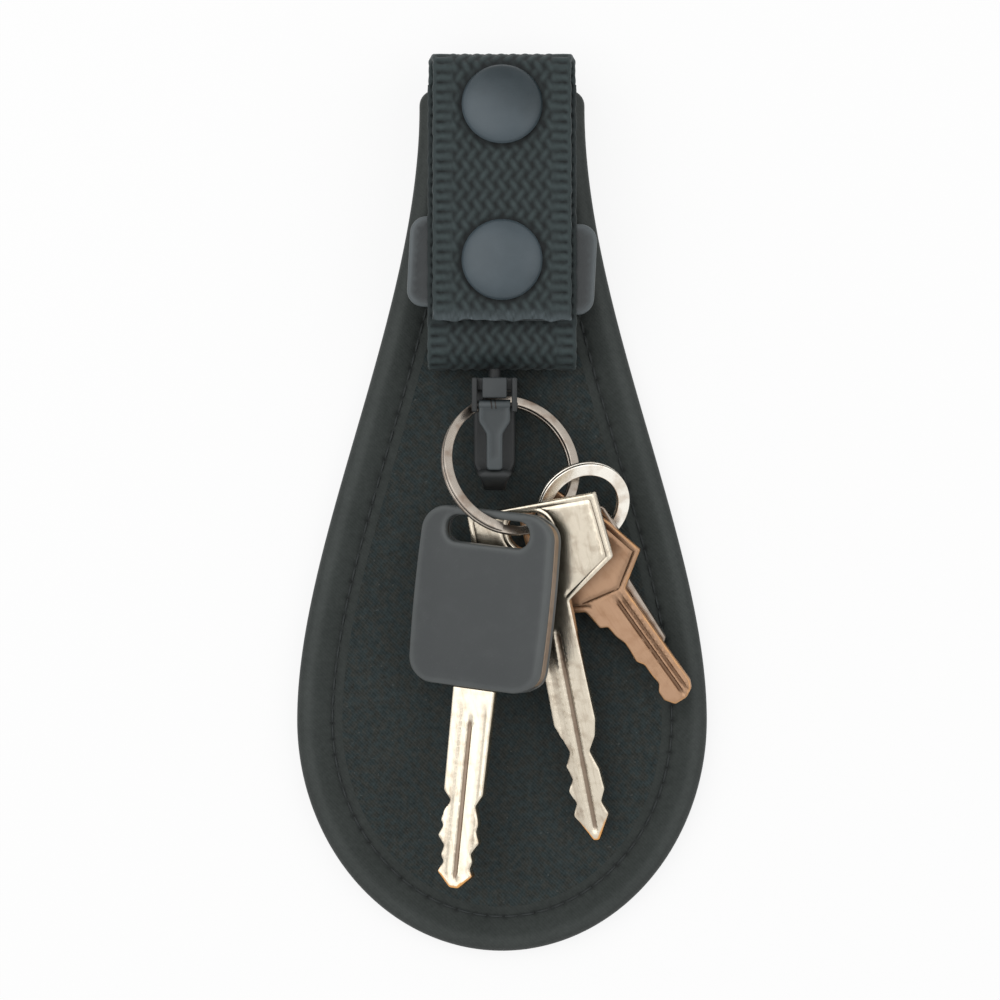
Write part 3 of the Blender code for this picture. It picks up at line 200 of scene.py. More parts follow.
class Value:
    """A number or colour over a surface. Sums with it add Math nodes to its tree."""

    def __init__(self, tree, socket):
        self.tree = tree
        self.socket = socket

    def __add__(self, other):
        return self.tree.math("ADD", self, other)

    def __radd__(self, other):
        return self.tree.math("ADD", other, self)

    def __sub__(self, other):
        return self.tree.math("SUBTRACT", self, other)

    def __rsub__(self, other):
        return self.tree.math("SUBTRACT", other, self)

    def __mul__(self, other):
        return self.tree.math("MULTIPLY", self, other)

    def __rmul__(self, other):
        return self.tree.math("MULTIPLY", other, self)


class Tree:
    """The nodes of a material or of the world."""

    def __init__(self, owner):
        owner.use_nodes = True
        self.nodes = owner.node_tree.nodes
        self.links = owner.node_tree.links

    def node(self, kind, settings=None, sockets=None):
        node = self.nodes.new(kind)
        for name, value in (settings or {}).items():
            setattr(node, name, value)
        for name, value in (sockets or {}).items():
            self.feed(node.inputs[name], value)
        return node

    def feed(self, socket, value):
        if isinstance(value, Value):
            self.links.new(value.socket, socket)
        else:
            socket.default_value = value

    def read(self, kind, output, settings=None, sockets=None):
        return Value(self, self.node(kind, settings, sockets).outputs[output])

    def math(self, operation, *values):
        sockets = dict(enumerate(values))
        return self.read("ShaderNodeMath", "Value", {"operation": operation}, sockets)

    def looked_at(self):
        """1 on rays from the camera, also mirrored or through glass, and 0 on other light."""
        kinds = ("Is Camera Ray", "Is Glossy Ray", "Is Transmission Ray")
        seen, glossy, through = [self.read("ShaderNodeLightPath", kind) for kind in kinds]
        return self.math("MAXIMUM", self.math("MAXIMUM", seen, glossy), through)

    def mixed(self, share, first, second, output):
        """Two shaders as an output's surface, the second by a share."""
        mix = self.node("ShaderNodeMixShader", None, {0: share})
        self.links.new(first.outputs[0], mix.inputs[1])
        self.links.new(second.outputs[0], mix.inputs[2])
        self.links.new(mix.outputs[0], self.nodes[output].inputs["Surface"])


class Finish(Tree):
    """A material: its fixed values, then what changes over the surface."""

    def __init__(self, name, **fixed):
        self.material = bpy.data.materials.new(name)
        super().__init__(self.material)
        self.shader = self.nodes["Principled BSDF"]
        for socket, value in fixed.items():
            self.shader.inputs[socket.replace("_", " ")].default_value = value

    def paint(self, socket, value):
        self.feed(self.shader.inputs[socket], value)

    def place(self):
        """Where a point lies on the piece, along X, Y and Z."""
        where = self.read("ShaderNodeTexCoord", "Object")
        parts = self.node("ShaderNodeSeparateXYZ", None, {"Vector": where})
        return [Value(self, parts.outputs[axis]) for axis in "XYZ"]

    def noted(self, name, output="Fac"):
        """A number that the mesh itself holds."""
        return self.read("ShaderNodeAttribute", output, {"attribute_name": name})

    def noise(self, size, detail=2.0, stretch=(1, 1, 1), turn=0.0, vector=None):
        """Soft patches of about the given size, longer along an axis where stretched."""
        vector = vector or self.read("ShaderNodeTexCoord", "Object")
        scale = tuple(1 / (size * share) for share in stretch)
        turned = {"Vector": vector, "Rotation": (0, 0, turn)}
        vector = self.read("ShaderNodeMapping", "Vector", None, turned)
        vector = self.read("ShaderNodeMapping", "Vector", None, {"Vector": vector, "Scale": scale})
        sockets = {"Vector": vector, "Scale": 1.0, "Detail": detail}
        return self.read("ShaderNodeTexNoise", 0, None, sockets)

    def rise(self, value, low, high):
        """0 below low, 1 above high, and smooth between them."""
        sockets = {"Value": value, "From Min": low, "From Max": high}
        return self.read("ShaderNodeMapRange", 0, {"interpolation_type": "SMOOTHSTEP"}, sockets)

    def blend(self, share, first, second):
        sockets = {0: share, 6: first, 7: second}
        return self.read("ShaderNodeMix", 2, {"data_type": "RGBA"}, sockets)

    def relief(self, height, distance):
        sockets = {"Height": height, "Distance": distance}
        self.paint("Normal", self.read("ShaderNodeBump", "Normal", None, sockets))


def twill_finish():
    """Black nylon twill, its ridges running down to the right, with dust in it."""
    cloth = Finish("black_twill", Specular_IOR_Level=0.2, Sheen_Weight=0.08, Sheen_Roughness=0.5)
    x, y, _ = cloth.place()
    drift = cloth.noise(5 * MM) * 2.5
    ridges = cloth.math("SINE", (x + y) * (math.tau / (math.sqrt(2) * TWILL_PITCH)) + drift)
    threads = cloth.math("SINE", (x - y * 0.6) * (math.tau / (1.3 * TWILL_PITCH)) + drift)
    weave = ridges * 0.34 + threads * 0.14 + 0.5
    fuzz = cloth.noise(0.35 * MM, 3.0)
    cloudy = cloth.noise(11 * MM, 3.0)
    mottled = cloth.noise(0.95 * MM, 4.0)
    tone = weave * 0.32 + fuzz * 0.3 + mottled * 1.1 + cloudy * 0.35 - 0.54
    tint = cloth.rise(cloth.noise(1.3 * MM, 2.0), 0.35, 0.65)
    dark = cloth.blend(tint, screen(33, 36, 34), screen(30, 38, 39))
    light = cloth.blend(tint, screen(68, 71, 68), screen(62, 72, 73))
    colour = cloth.blend(tone, dark, light)
    lint = cloth.rise(cloth.noise(0.7 * MM, 0.0), 0.8, 0.85)
    cloth.paint("Base Color", cloth.blend(lint * 0.3, colour, screen(105, 108, 106)))
    cloth.paint("Roughness", 0.92 - weave * 0.12)
    cloth.relief(weave * 0.6 + fuzz * 0.6 + mottled * 0.6, 0.08 * MM)
    return cloth.material


def binding_finish():
    """Black binding cloth, finer than the twill, with a painted highlight along its roll and
    painted shade in its needle holes.
    """
    sheen = {"Sheen_Weight": 0.15, "Sheen_Roughness": 0.45}
    cloth = Finish("black_binding", Specular_IOR_Level=0.35, **sheen)
    x, y, _ = cloth.place()
    grain = cloth.noise(0.3 * MM, 3.0)
    cloudy = cloth.noise(7 * MM, 3.0)
    rubbed = cloth.noted("rubbed")
    pricked = cloth.noted("pricked")
    ridges = cloth.math("SINE", (x + y) * (math.tau / (math.sqrt(2) * TWILL_PITCH)))
    mottled = cloth.noise(0.9 * MM, 4.0)
    tone = grain * 0.3 + mottled * 0.6 + cloudy * 0.5 + rubbed * 0.35 + ridges * 0.05 - 0.45
    colour = cloth.blend(tone, screen(38, 43, 41), screen(70, 75, 73))
    # Painted shade: near black in the needle holes' dimples
    cloth.paint("Base Color", cloth.blend(pricked, colour, screen(14, 17, 17)))
    cloth.paint("Roughness", 0.78 - rubbed * 0.16 + grain * 0.08)
    cloth.relief(grain + cloudy * 0.5, 0.05 * MM)
    return cloth.material


def webbing_finish():
    """Black nylon webbing, darker between its yarns as painted shade, paler and shiny on its
    melted end, partly as a painted sheen.
    """
    web = Finish("black_webbing", Specular_IOR_Level=0.3, Sheen_Weight=0.05)
    crown = web.noted("crown")
    sealed = web.noted("sealed")
    lay = web.noted("lay", "Vector")
    filaments = web.noise(0.14 * MM, 2.0, (1.0, 5.0, 1.0), math.radians(25), lay)
    cloudy = web.noise(5 * MM, 3.0)
    uneven = web.noise(1.1 * MM, 2.0)
    # Painted shade: the colour darkens where the yarn crowns are low, between yarns, round the
    # caps' feet and under the outer strap's end
    tone = crown * (0.6 + uneven * 0.7) + filaments * 0.25 + cloudy * 0.25 - 0.33
    colour = web.blend(tone, screen(12, 17, 18), screen(58, 70, 71))
    # The melted end: less rough, and a paler colour strongest on the beads' tops, partly a painted
    # sheen
    web.paint("Base Color", web.blend(sealed, colour, screen(90, 100, 106)))
    web.paint("Roughness", 0.72 - crown * 0.12 - sealed * 0.3)
    web.relief(filaments + cloudy * 0.3, 0.05 * MM)
    return web.material


def thread_finish():
    """Twisted nylon thread."""
    thread = Finish("black_thread", Specular_IOR_Level=0.4)
    strand = thread.noise(0.12 * MM, 2.0, (1, 4, 1), math.radians(30))
    thread.paint("Base Color", thread.blend(strand, screen(24, 28, 28), screen(52, 57, 57)))
    thread.paint("Roughness", 0.55 + strand * 0.2)
    thread.relief(strand, 0.04 * MM)
    return thread.material


def enamel_finish():
    """Dark baked enamel on the snap caps, a little dusty, with painted light on the upper cap:
    paler at its lower left, darker at its top.
    """
    enamel = Finish("snap_enamel", Specular_IOR_Level=0.5)
    speckle = enamel.noise(0.25 * MM, 3.0)
    cloudy = enamel.noise(4 * MM, 3.0)
    tone = enamel.noted("rubbed") + (speckle - 0.5) * 0.15 + (cloudy - 0.5) * 0.5
    enamel.paint("Base Color", enamel.blend(tone, screen(20, 37, 43), screen(71, 83, 90)))
    enamel.paint("Roughness", 0.36 + speckle * 0.12)
    enamel.relief(speckle, 0.01 * MM)
    return enamel.material


def moulded_finish(name, dark, light, roughness=0.4):
    """Moulded plastic with a fine grain, paler and smoother where worn and where highlights are
    painted.
    """
    plastic = Finish(name, Specular_IOR_Level=0.5)
    grain = plastic.noise(0.18 * MM, 2.0)
    cloudy = plastic.noise(3.5 * MM, 4.0)
    scratches = plastic.rise(plastic.noise(0.22 * MM, 1.0, (1, 18, 1), 0.7), 0.64, 0.7)
    rubbed = plastic.noted("rubbed")
    tone = rubbed + (grain - 0.5) * 0.2 + (cloudy - 0.5) * 0.5 + scratches * 0.1
    plastic.paint("Base Color", plastic.blend(tone, dark, light))
    plastic.paint("Roughness", roughness + grain * 0.12 - rubbed * 0.1)
    plastic.relief(grain + scratches * 0.5, 0.014 * MM)
    return plastic.material


def plated_finish(name, pale, stained, roughness=0.24):
    """Plated or polished metal: fine scratches along Y, and stains in patches."""
    metal = Finish(name, Metallic=1.0)
    scratches = metal.noise(0.06 * MM, 2.0, (1, 30, 1))
    stains = metal.rise(metal.noise(2.6 * MM, 4.0), 0.42, 0.74)
    tone = stains * 0.7 + scratches * 0.2
    metal.paint("Base Color", metal.blend(tone, pale, stained))
    metal.paint("Roughness", roughness + scratches * 0.14 + stains * 0.12)
    metal.relief(scratches, 0.006 * MM)
    return metal.material


def key_finish(name, pale, stained, worn, along, roughness=0.16):
    """Key metal: brushed along the blade, which leans so far from Y, with dirt in its grooves."""
    metal = Finish(name, Metallic=1.0)
    brushed = metal.noise(0.09 * MM, 2.0, (1, 40, 1), -along)
    patches = metal.noise(2.2 * MM, 4.0)
    wear = metal.rise(metal.noted("wear") + (patches - 0.5) * 0.7, 0.45, 0.85)
    dirt = metal.rise(metal.noted("dirt") + (patches - 0.5) * 0.4, 0.3, 0.9)
    streaks = metal.noise(0.55 * MM, 2.0, (1, 14, 1), -along)
    tarnish = metal.rise(patches, 0.45, 0.75) * 0.4 + metal.rise(streaks, 0.5, 0.75) * 0.25
    colour = metal.blend(tarnish, pale, stained)
    colour = metal.blend(dirt * 0.8, colour, screen(98, 76, 60))
    metal.paint("Base Color", metal.blend(wear, colour, worn))
    metal.paint("Roughness", roughness + brushed * 0.12 + dirt * 0.15)
    metal.relief(brushed + patches * 0.3, 0.008 * MM)
    return metal.material


def piece(name, points, faces, finish, body, *nodes, notes=None):
    """A smooth mesh that rides on a body and stands for the frame's nodes."""
    mesh = bpy.data.meshes.new(name)
    mesh.from_pydata([tuple(point) for point in points], [], [tuple(face) for face in faces])
    mesh.update()
    bm = bmesh.new()
    bm.from_mesh(mesh)
    bmesh.ops.recalc_face_normals(bm, faces=bm.faces)
    bm.to_mesh(mesh)
    bm.free()
    obj = bpy.data.objects.new(name, mesh)
    bpy.context.scene.collection.objects.link(obj)
    mesh.materials.append(finish)
    mesh.shade_smooth()
    mesh.set_sharp_from_angle(angle=math.radians(42))
    for note, values in (notes or {}).items():
        values = np.asarray(values, np.float32)
        kind, field = ("FLOAT_VECTOR", "vector") if values.ndim == 2 else ("FLOAT", "value")
        mesh.attributes.new(note, kind, "POINT").data.foreach_set(field, values.ravel())
    if nodes:
        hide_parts(*nodes)
    if body:
        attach(obj, body)
    return obj


def sleeve(rows, closed=False):
    """Faces over rows of points, each row a loop, with ends unless the rows close up too."""
    rows = np.asarray(rows, float)
    count, around = rows.shape[:2]
    index = np.arange(count * around).reshape(count, around)
    faces = []
    last = count if closed else count - 1
    for i in range(last):
        low, high = index[i], index[(i + 1) % count]
        for j in range(around):
            k = (j + 1) % around
            faces.append((low[j], low[k], high[k], high[j]))
    if not closed:
        faces.append(tuple(reversed(index[0])))
        faces.append(tuple(index[-1]))
    return rows.reshape(-1, 3), faces


def joined(*shells):
    """Several shells of points and faces as one."""
    points, faces = [], []
    for shell_points, shell_faces in shells:
        start = len(points)
        points += [tuple(point) for point in shell_points]
        faces += [tuple(start + i for i in face) for face in shell_faces]
    return np.array(points), faces


def moved(matrix, points):
    points = np.asarray(points, float)
    turn = np.array(matrix.to_3x3())
    return points @ turn.T + np.array(matrix.translation)


def arc(centre, radius, start, end, steps):
    """Points along an arc, both ends included, with its angles in degrees."""
    angles = np.radians(np.linspace(start, end, steps + 1))
    return [(centre[0] + radius * math.cos(a), centre[1] + radius * math.sin(a)) for a in angles]


def spaced(points, step, closed=False):
    """The same line with points about a step apart, its corners kept."""
    points = [np.array(point, float) for point in points]
    ends = points[1:] + points[:1] if closed else points[1:]
    out = []
    for a, b in zip(points, ends):
        count = max(1, round(np.linalg.norm(b - a) / step))
        out += [a + (b - a) * i / count for i in range(count)]
    if not closed:
        out.append(points[-1])
    return np.array(out)


def smooth_step(values, low, high):
    t = np.clip((np.asarray(values, float) - low) / (high - low), 0, 1)
    return t * t * (3 - 2 * t)


def hump(values, middle, width):
    """1 at the middle and nearly nothing two widths away."""
    return np.exp(-(((values - middle) / width) ** 2))


def waver(values, size, seed):
    """A smooth, repeatable unevenness between -1 and 1."""
    phase = np.asarray(values, float) * math.tau / size
    total = np.sin(phase + seed) + np.sin(phase * 1.73 + 2.1 * seed) + np.sin(phase * 0.61 - seed)
    return total / 3


def edge_distance(points, loops):
    """How far each point in a plane is from the nearest of the closed loops."""
    points = np.asarray(points, float)
    batch = 2000
    least = np.full(len(points), np.inf)
    for loop in loops:
        a = np.asarray(loop, float)
        b = np.roll(a, -1, axis=0)
        along = b - a
        lengths = np.maximum((along**2).sum(1), 1e-18)
        for first in range(0, len(points), batch):
            part = points[first : first + batch]
            to = part[:, None, :] - a[None]
            t = np.clip((to * along).sum(2) / lengths, 0, 1)
            off = to - t[..., None] * along
            near = np.sqrt((off**2).sum(2).min(1))
            least[first : first + batch] = np.minimum(least[first : first + batch], near)
    return least


def within(points, loop):
    """Which points lie inside a closed loop."""
    points, loop = np.asarray(points, float), np.asarray(loop, float)
    x, y = points[:, 0], points[:, 1]
    inside = np.zeros(len(points), bool)
    for (ax, ay), (bx, by) in zip(loop, np.roll(loop, -1, axis=0)):
        if ay == by:
            continue
        crosses = (ay > y) != (by > y)
        inside ^= crosses & (x < (bx - ax) * (y - ay) / (by - ay) + ax)
    return inside


def headings(line):
    """Which way a line runs at each of its points."""
    ahead = np.gradient(line, axis=0)
    return ahead / np.linalg.norm(ahead, axis=1)[:, None]


def inset(loop, distance):
    """A closed loop drawn to its left by a distance."""
    loop = np.asarray(loop, float)
    ahead = np.roll(loop, -1, axis=0) - loop
    ahead /= np.linalg.norm(ahead, axis=1)[:, None]
    behind = np.roll(ahead, 1, axis=0)
    normal = np.stack([-(ahead + behind)[:, 1], (ahead + behind)[:, 0]], 1)
    normal /= np.maximum(np.linalg.norm(normal, axis=1)[:, None], 1e-9)
    return loop + normal * distance


def turns_left(loop):
    loop = np.asarray(loop, float)
    after = np.roll(loop, -1, axis=0)
    return (loop[:, 0] * after[:, 1] - after[:, 0] * loop[:, 1]).sum() > 0


def fine_plane(outline, holes, insets, step, extra=()):
    """Points and triangles that fill an outline, with rows of points along its edges.

    Also how far each point is from those edges, and the edges themselves.
    """
    loops = [outline if turns_left(outline) else outline[::-1]]
    loops += [hole[::-1] if turns_left(hole) else hole for hole in holes]
    rim_step, row_height, clear = step * 0.7, step * 0.866, step * 0.35
    loops = [spaced(loop, rim_step, True) for loop in loops]
    rows = []
    # Where a row crosses itself in a narrow corner, its points there are dropped
    for distance in insets:
        row = np.concatenate([inset(loop, distance) for loop in loops])
        rows.append(row[edge_distance(row, loops) > distance * 0.93])
    low, high = loops[0].min(0), loops[0].max(0)
    across = np.arange(low[0], high[0], step)
    up = np.arange(low[1], high[1], row_height)
    grid = [(x + (i % 2) * step / 2, y) for i, y in enumerate(up) for x in across]
    for filling, room in ((grid, max(insets, default=0) + clear), (extra, clear)):
        if len(filling):
            filling = np.array(filling)
            filling = filling[within(filling, loops[0])]
            rows.append(filling[edge_distance(filling, loops) > room])
    points = np.concatenate(loops + rows)
    edges, start = [], 0
    for loop in loops:
        count = len(loop)
        edges += [(start + i, start + (i + 1) % count) for i in range(count)]
        start += count
    flat = [Vector(point / MM) for point in points]
    found, _, faces, *_ = delaunay_2d_cdt(flat, edges, [], 0, 1e-4)
    found = np.array([tuple(point) for point in found]) * MM
    faces = np.array(faces)
    middle = found[faces].mean(1)
    keep = within(middle, loops[0])
    for loop in loops[1:]:
        keep &= ~within(middle, loop)
    return found, faces[keep], edge_distance(found, loops), loops


def slab(plane, faces, front, back):
    """A solid from one plane of points, with a height for its front and one for its back."""
    count = len(plane)
    top = np.column_stack([plane, front])
    bottom = np.column_stack([plane, back])
    edges = {}
    for a, b, c in faces:
        for edge in ((a, b), (b, c), (c, a)):
            if not edges.pop(edge[::-1], False):
                edges[edge] = True
    skin = [tuple(face) for face in faces]
    skin += [tuple(count + i for i in face[::-1]) for face in faces]
    walls = [(b, a, count + a, count + b) for a, b in edges]
    return np.concatenate([top, bottom]), skin + walls


def rounded(distance, edge):
    """How far a rounded edge falls away, from its own radius at the rim to nothing inside."""
    off = np.clip(1 - distance / edge, 0, 1)
    return edge * (1 - np.sqrt(np.maximum(1 - off**2, 0)))


def wire_section(width, height, radius, steps=4):
    """A rectangle with its corners as arcs, always with as many points."""
    x, y = width / 2 - radius, height / 2 - radius
    points = []
    for i, (sx, sy) in enumerate(((1, 1), (-1, 1), (-1, -1), (1, -1))):
        points += arc((sx * x, sy * y), radius, 90 * i, 90 * i + 90, steps)
    return points


def rounded_rectangle(width, height, radius, centre=(0.0, 0.0), bulge=0.0):
    """A closed outline with its corners as arcs, and sides that may bow out."""
    points = np.array(wire_section(width, height, radius, 12)) + centre
    points = spaced(points, height / 40, True)
    bow = np.clip(1 - ((points[:, 1] - centre[1]) / (height / 2)) ** 2, 0, 1)
    points[:, 0] += np.sign(points[:, 0] - centre[0]) * bow * bulge
    return points


def round_box(low, high, edge):
    """A box with soft edges."""
    bm = bmesh.new()
    bmesh.ops.create_cube(bm, size=1)
    size = Vector(high) - Vector(low)
    bmesh.ops.scale(bm, verts=bm.verts, vec=size)
    bmesh.ops.translate(bm, verts=bm.verts, vec=(Vector(low) + Vector(high)) / 2)
    bmesh.ops.bevel(bm, geom=bm.edges[:], offset=edge, segments=3, profile=0.5, affect="EDGES")
    bm.verts.index_update()
    points = np.array([tuple(vert.co) for vert in bm.verts])
    faces = [tuple(vert.index for vert in face.verts) for face in bm.faces]
    bm.free()
    return points, faces


def turned(profile, matrix, steps=72):
    """A turned shape from its profile of (radius, height)."""
    angles = np.linspace(0, math.tau, steps, endpoint=False)
    rows = []
    for radius, height in profile:
        rows.append([(radius * math.cos(a), radius * math.sin(a), height) for a in angles])
    points, faces = sleeve(rows)
    return moved(matrix, points), faces


def turned_ring(profile, matrix, steps=72):
    """A turned ring: its profile comes back to where it starts."""
    rows = []
    for angle in np.linspace(0, math.tau, steps, endpoint=False):
        rows.append([(r * math.cos(angle), r * math.sin(angle), z) for r, z in profile[:-1]])
    points, faces = sleeve(rows, closed=True)
    return moved(matrix, points), faces


def eased(profile, edge, steps=3):
    """A profile whose corners are rounded by an edge radius."""
    points = [np.array(point, float) for point in profile]
    out = [points[0]]
    for before, corner, after in zip(points, points[1:], points[2:]):
        into, away = before - corner, after - corner
        reach = min(edge, np.linalg.norm(into) * 0.45, np.linalg.norm(away) * 0.45)
        start = corner + into / np.linalg.norm(into) * reach
        end = corner + away / np.linalg.norm(away) * reach
        for i in range(steps + 1):
            t = i / steps
            out.append(start * (1 - t) ** 2 + corner * 2 * t * (1 - t) + end * t * t)
    out.append(points[-1])
    return [tuple(point) for point in out]


def rounded_loop(points, edge):
    """A closed outline with its corners rounded by an edge radius."""
    middle = tuple((np.array(points[0]) + points[-1]) / 2)
    return eased([middle, *points, middle], edge)[:-1]


def flap_half_width(y):
    """Half the flap's width at a height between its widest point and its top."""
    half = FLAP_HIGH.x
    widths = (half, half, WAIST_HALF, NECK_HALF)
    heights = (WIDEST_Y, WIDEST_Y + BELLY_REACH, FLAP_HIGH.y - NECK_REACH, FLAP_HIGH.y)
    t = np.linspace(0, 1, 400)
    weights = ((1 - t) ** 3, 3 * t * (1 - t) ** 2, 3 * t * t * (1 - t), t**3)
    along = sum(weight * height for weight, height in zip(weights, heights))
    across = sum(weight * width for weight, width in zip(weights, widths))
    return np.interp(y, along, across)


def flap_outline():
    """Up the right side, round the top corners, and down and round the belly."""
    side_top = FLAP_HIGH.y - NECK_CORNER
    heights = np.linspace(WIDEST_Y, side_top, 110)
    right = [(float(flap_half_width(y)), y) for y in heights]
    right += arc((right[-1][0] - NECK_CORNER, side_top), NECK_CORNER, 0, 90, 8)[1:]
    left = [(-x, y) for x, y in reversed(right)]
    bottom = []
    for angle in np.radians(np.linspace(180, 360, 120)[1:-1]):
        drop = (WIDEST_Y - FLAP_LOW.y) * math.sin(angle)
        bottom.append((FLAP_HIGH.x * math.cos(angle), WIDEST_Y + drop))
    return np.array(right + left + bottom)


def seam_places():
    """Where the needle went through, all round the flap."""
    line = spaced(inset(spaced(flap_outline(), MM, True), SEAM_INSET), 0.1 * MM, True)
    steps = np.linalg.norm(np.diff(line, axis=0, append=line[:1]), axis=1)
    along = np.concatenate([[0], np.cumsum(steps)])[:-1]
    count = round(steps.sum() / SEAM_PITCH)
    wanted = np.arange(count) * steps.sum() / count
    return np.column_stack([np.interp(wanted, along, line[:, axis]) for axis in (0, 1)])


def flap_front(plane, distance, holes):
    """How high the flap's front stands: a soft roll, the seam, a faint ridge and the field."""
    middle = FLAP_THICKNESS / 2
    rim = np.clip(1 - distance / FRONT_ROLL, 0, 1)
    height = middle + (middle - 0.15 * MM) * np.sqrt(1 - rim**2)
    for rise, where, width in FLAP_RIDGES:
        height += rise * hump(distance, where, width)
    height += 0.35 * MM * smooth_step(distance, BINDING_WIDTH, BINDING_WIDTH + 9 * MM)
    near = edge_distance(plane, [[tuple(hole), tuple(hole)] for hole in holes])
    height -= 0.3 * MM * hump(near, 0, 0.55 * MM)
    uneven = waver(plane[:, 0], 31 * MM, 1.0) * waver(plane[:, 1], 37 * MM, 2.0)
    height += 0.07 * MM * uneven * smooth_step(distance, 2 * MM, 6 * MM)
    # The second value marks the needle holes, where the binding is painted near black as shade in
    # the dimples
    return height, hump(near, 0, 0.5 * MM)


def make_flap(twill, binding, thread):
    """The padded flap: twill front and back, a bound edge, and the seam through them."""
    holes = seam_places()
    plane, faces, distance, loops = fine_plane(flap_outline(), [], FLAP_ROWS, 1.1 * MM)
    front, pricked = flap_front(plane, distance, holes)
    rim = np.clip(1 - distance / BACK_ROLL, 0, 1)
    middle = FLAP_THICKNESS / 2
    back = middle - middle * np.sqrt(1 - rim**2)
    # Painted highlight: a lighter band along the roll, about 2 mm in from the edge, where the
    # cloth is also less rough
    rubbed = hump(distance, 2.0 * MM, 1.1 * MM)
    in_field = distance[faces].mean(1) > BINDING_WIDTH
    panels = ("flap_front_panel", "flap_back_panel", "flap_foam_core")
    for name, keep, finish, nodes in (
        ("edge_binding", ~in_field, binding, ("flap_edge_binding",)),
        ("padded_twill", in_field, twill, panels),
    ):
        used, index = np.unique(faces[keep], return_inverse=True)
        shell = slab(plane[used], index.reshape(-1, 3), front[used], back[used])
        notes = {"rubbed": np.tile(rubbed[used], 2), "pricked": np.tile(pricked[used], 2)}
        obj = piece(name, *shell, finish, "holder", *nodes, notes=notes)
    make_seam(thread, holes, loops)


def make_seam(thread, holes, loops):
    """A stitch of thread from each hole to the next, thickest in its middle."""
    shells = []
    ring = 6
    for start, end in zip(holes, np.roll(holes, -1, axis=0)):
        rows = []
        across = np.array([-(end - start)[1], (end - start)[0]]) / np.linalg.norm(end - start)
        for t in np.linspace(0.08, 0.92, 7):
            place = start + (end - start) * t
            swell = math.sin(math.pi * t) ** 0.5
            cloth = flap_front(np.array([place]), edge_distance([place], loops), holes)[0][0]
            lift = cloth - 0.04 * MM + 0.16 * MM * swell
            radius = 0.16 * MM * swell + 0.02 * MM
            row = []
            for i in range(ring):
                angle = math.tau * i / ring
                side = place + across * radius * 1.3 * math.cos(angle)
                row.append((*side, lift + radius * math.sin(angle)))
            rows.append(row)
        shells.append(sleeve(rows))
    piece("seam_thread", *joined(*shells), thread, "holder")


def front_drop(y):
    """How far the front of the belt loop falls towards its top fold."""
    along = np.maximum(0.0, (np.asarray(y, float) - DROP_START_Y) / (TOP_FOLD_Y - DROP_START_Y))
    return LOOP_DROP * along**2


def web_path(places):
    """A web's middle line in small even steps, with its corners eased over a few places."""
    line = spaced(places, 0.1 * MM)
    reach = 9
    padded = np.concatenate([np.repeat(line[:1], reach, 0), line, np.repeat(line[-1:], reach, 0)])
    window = np.ones(2 * reach + 1) / (2 * reach + 1)
    eased_line = np.column_stack([np.convolve(padded[:, i], window, "valid") for i in (0, 1)])
    eased_line[0], eased_line[-1] = line[0], line[-1]
    lengths = np.linalg.norm(np.diff(eased_line, axis=0), axis=1)
    along = np.concatenate([[0], np.cumsum(lengths)])
    wanted = np.linspace(0, along[-1], round(along[-1] / WEB_STEP) + 1)
    places = np.column_stack([np.interp(wanted, along, eased_line[:, i]) for i in (0, 1)])
    return places, wanted


def weave(across, along, width):
    """How high the yarns stand, from 0 in the gaps between them to 1 on their crowns."""
    across = across + 0.07 * MM * waver(along, 9 * MM, 0.4)
    column, row = across / YARN_PITCH, along / RIB_PITCH

    def yarns(column_shift, row_shift, lean):
        side = (column - column_shift + 0.5) % 1 - 0.5
        up = (row - row_shift + 1) % 2 - 1
        side = side * YARN_PITCH + lean * up * RIB_PITCH
        beside, beyond = side / YARN_SIZE[0], up * RIB_PITCH / YARN_SIZE[1]
        return np.exp(-(beside**2) - np.abs(beyond) ** 2.5)

    centre = np.maximum(yarns(0, 0, YARN_LEANS[0]), yarns(0.5, 1, YARN_LEANS[1]))
    edge = width / 2 - np.abs(across)
    sag = 0.35 * np.abs(across) / width + 0.06 * waver(across, 1.9 * MM, along[0] / MM)
    ribs = (0.5 + 0.5 * np.cos(math.tau * (row - sag))) ** 0.5
    ribs = 0.7 + (ribs - 0.7) * (0.55 + 0.45 * smooth_step(edge, BORDER_WIDTH, SELVAGE))
    border = smooth_step(edge, BORDER_WIDTH + 0.45 * MM, BORDER_WIDTH - 0.45 * MM)
    height = centre * (1 - border) + ribs * border
    selvage = smooth_step(edge, SELVAGE, SELVAGE * 0.4)
    return height * (1 - selvage) + 0.8 * selvage


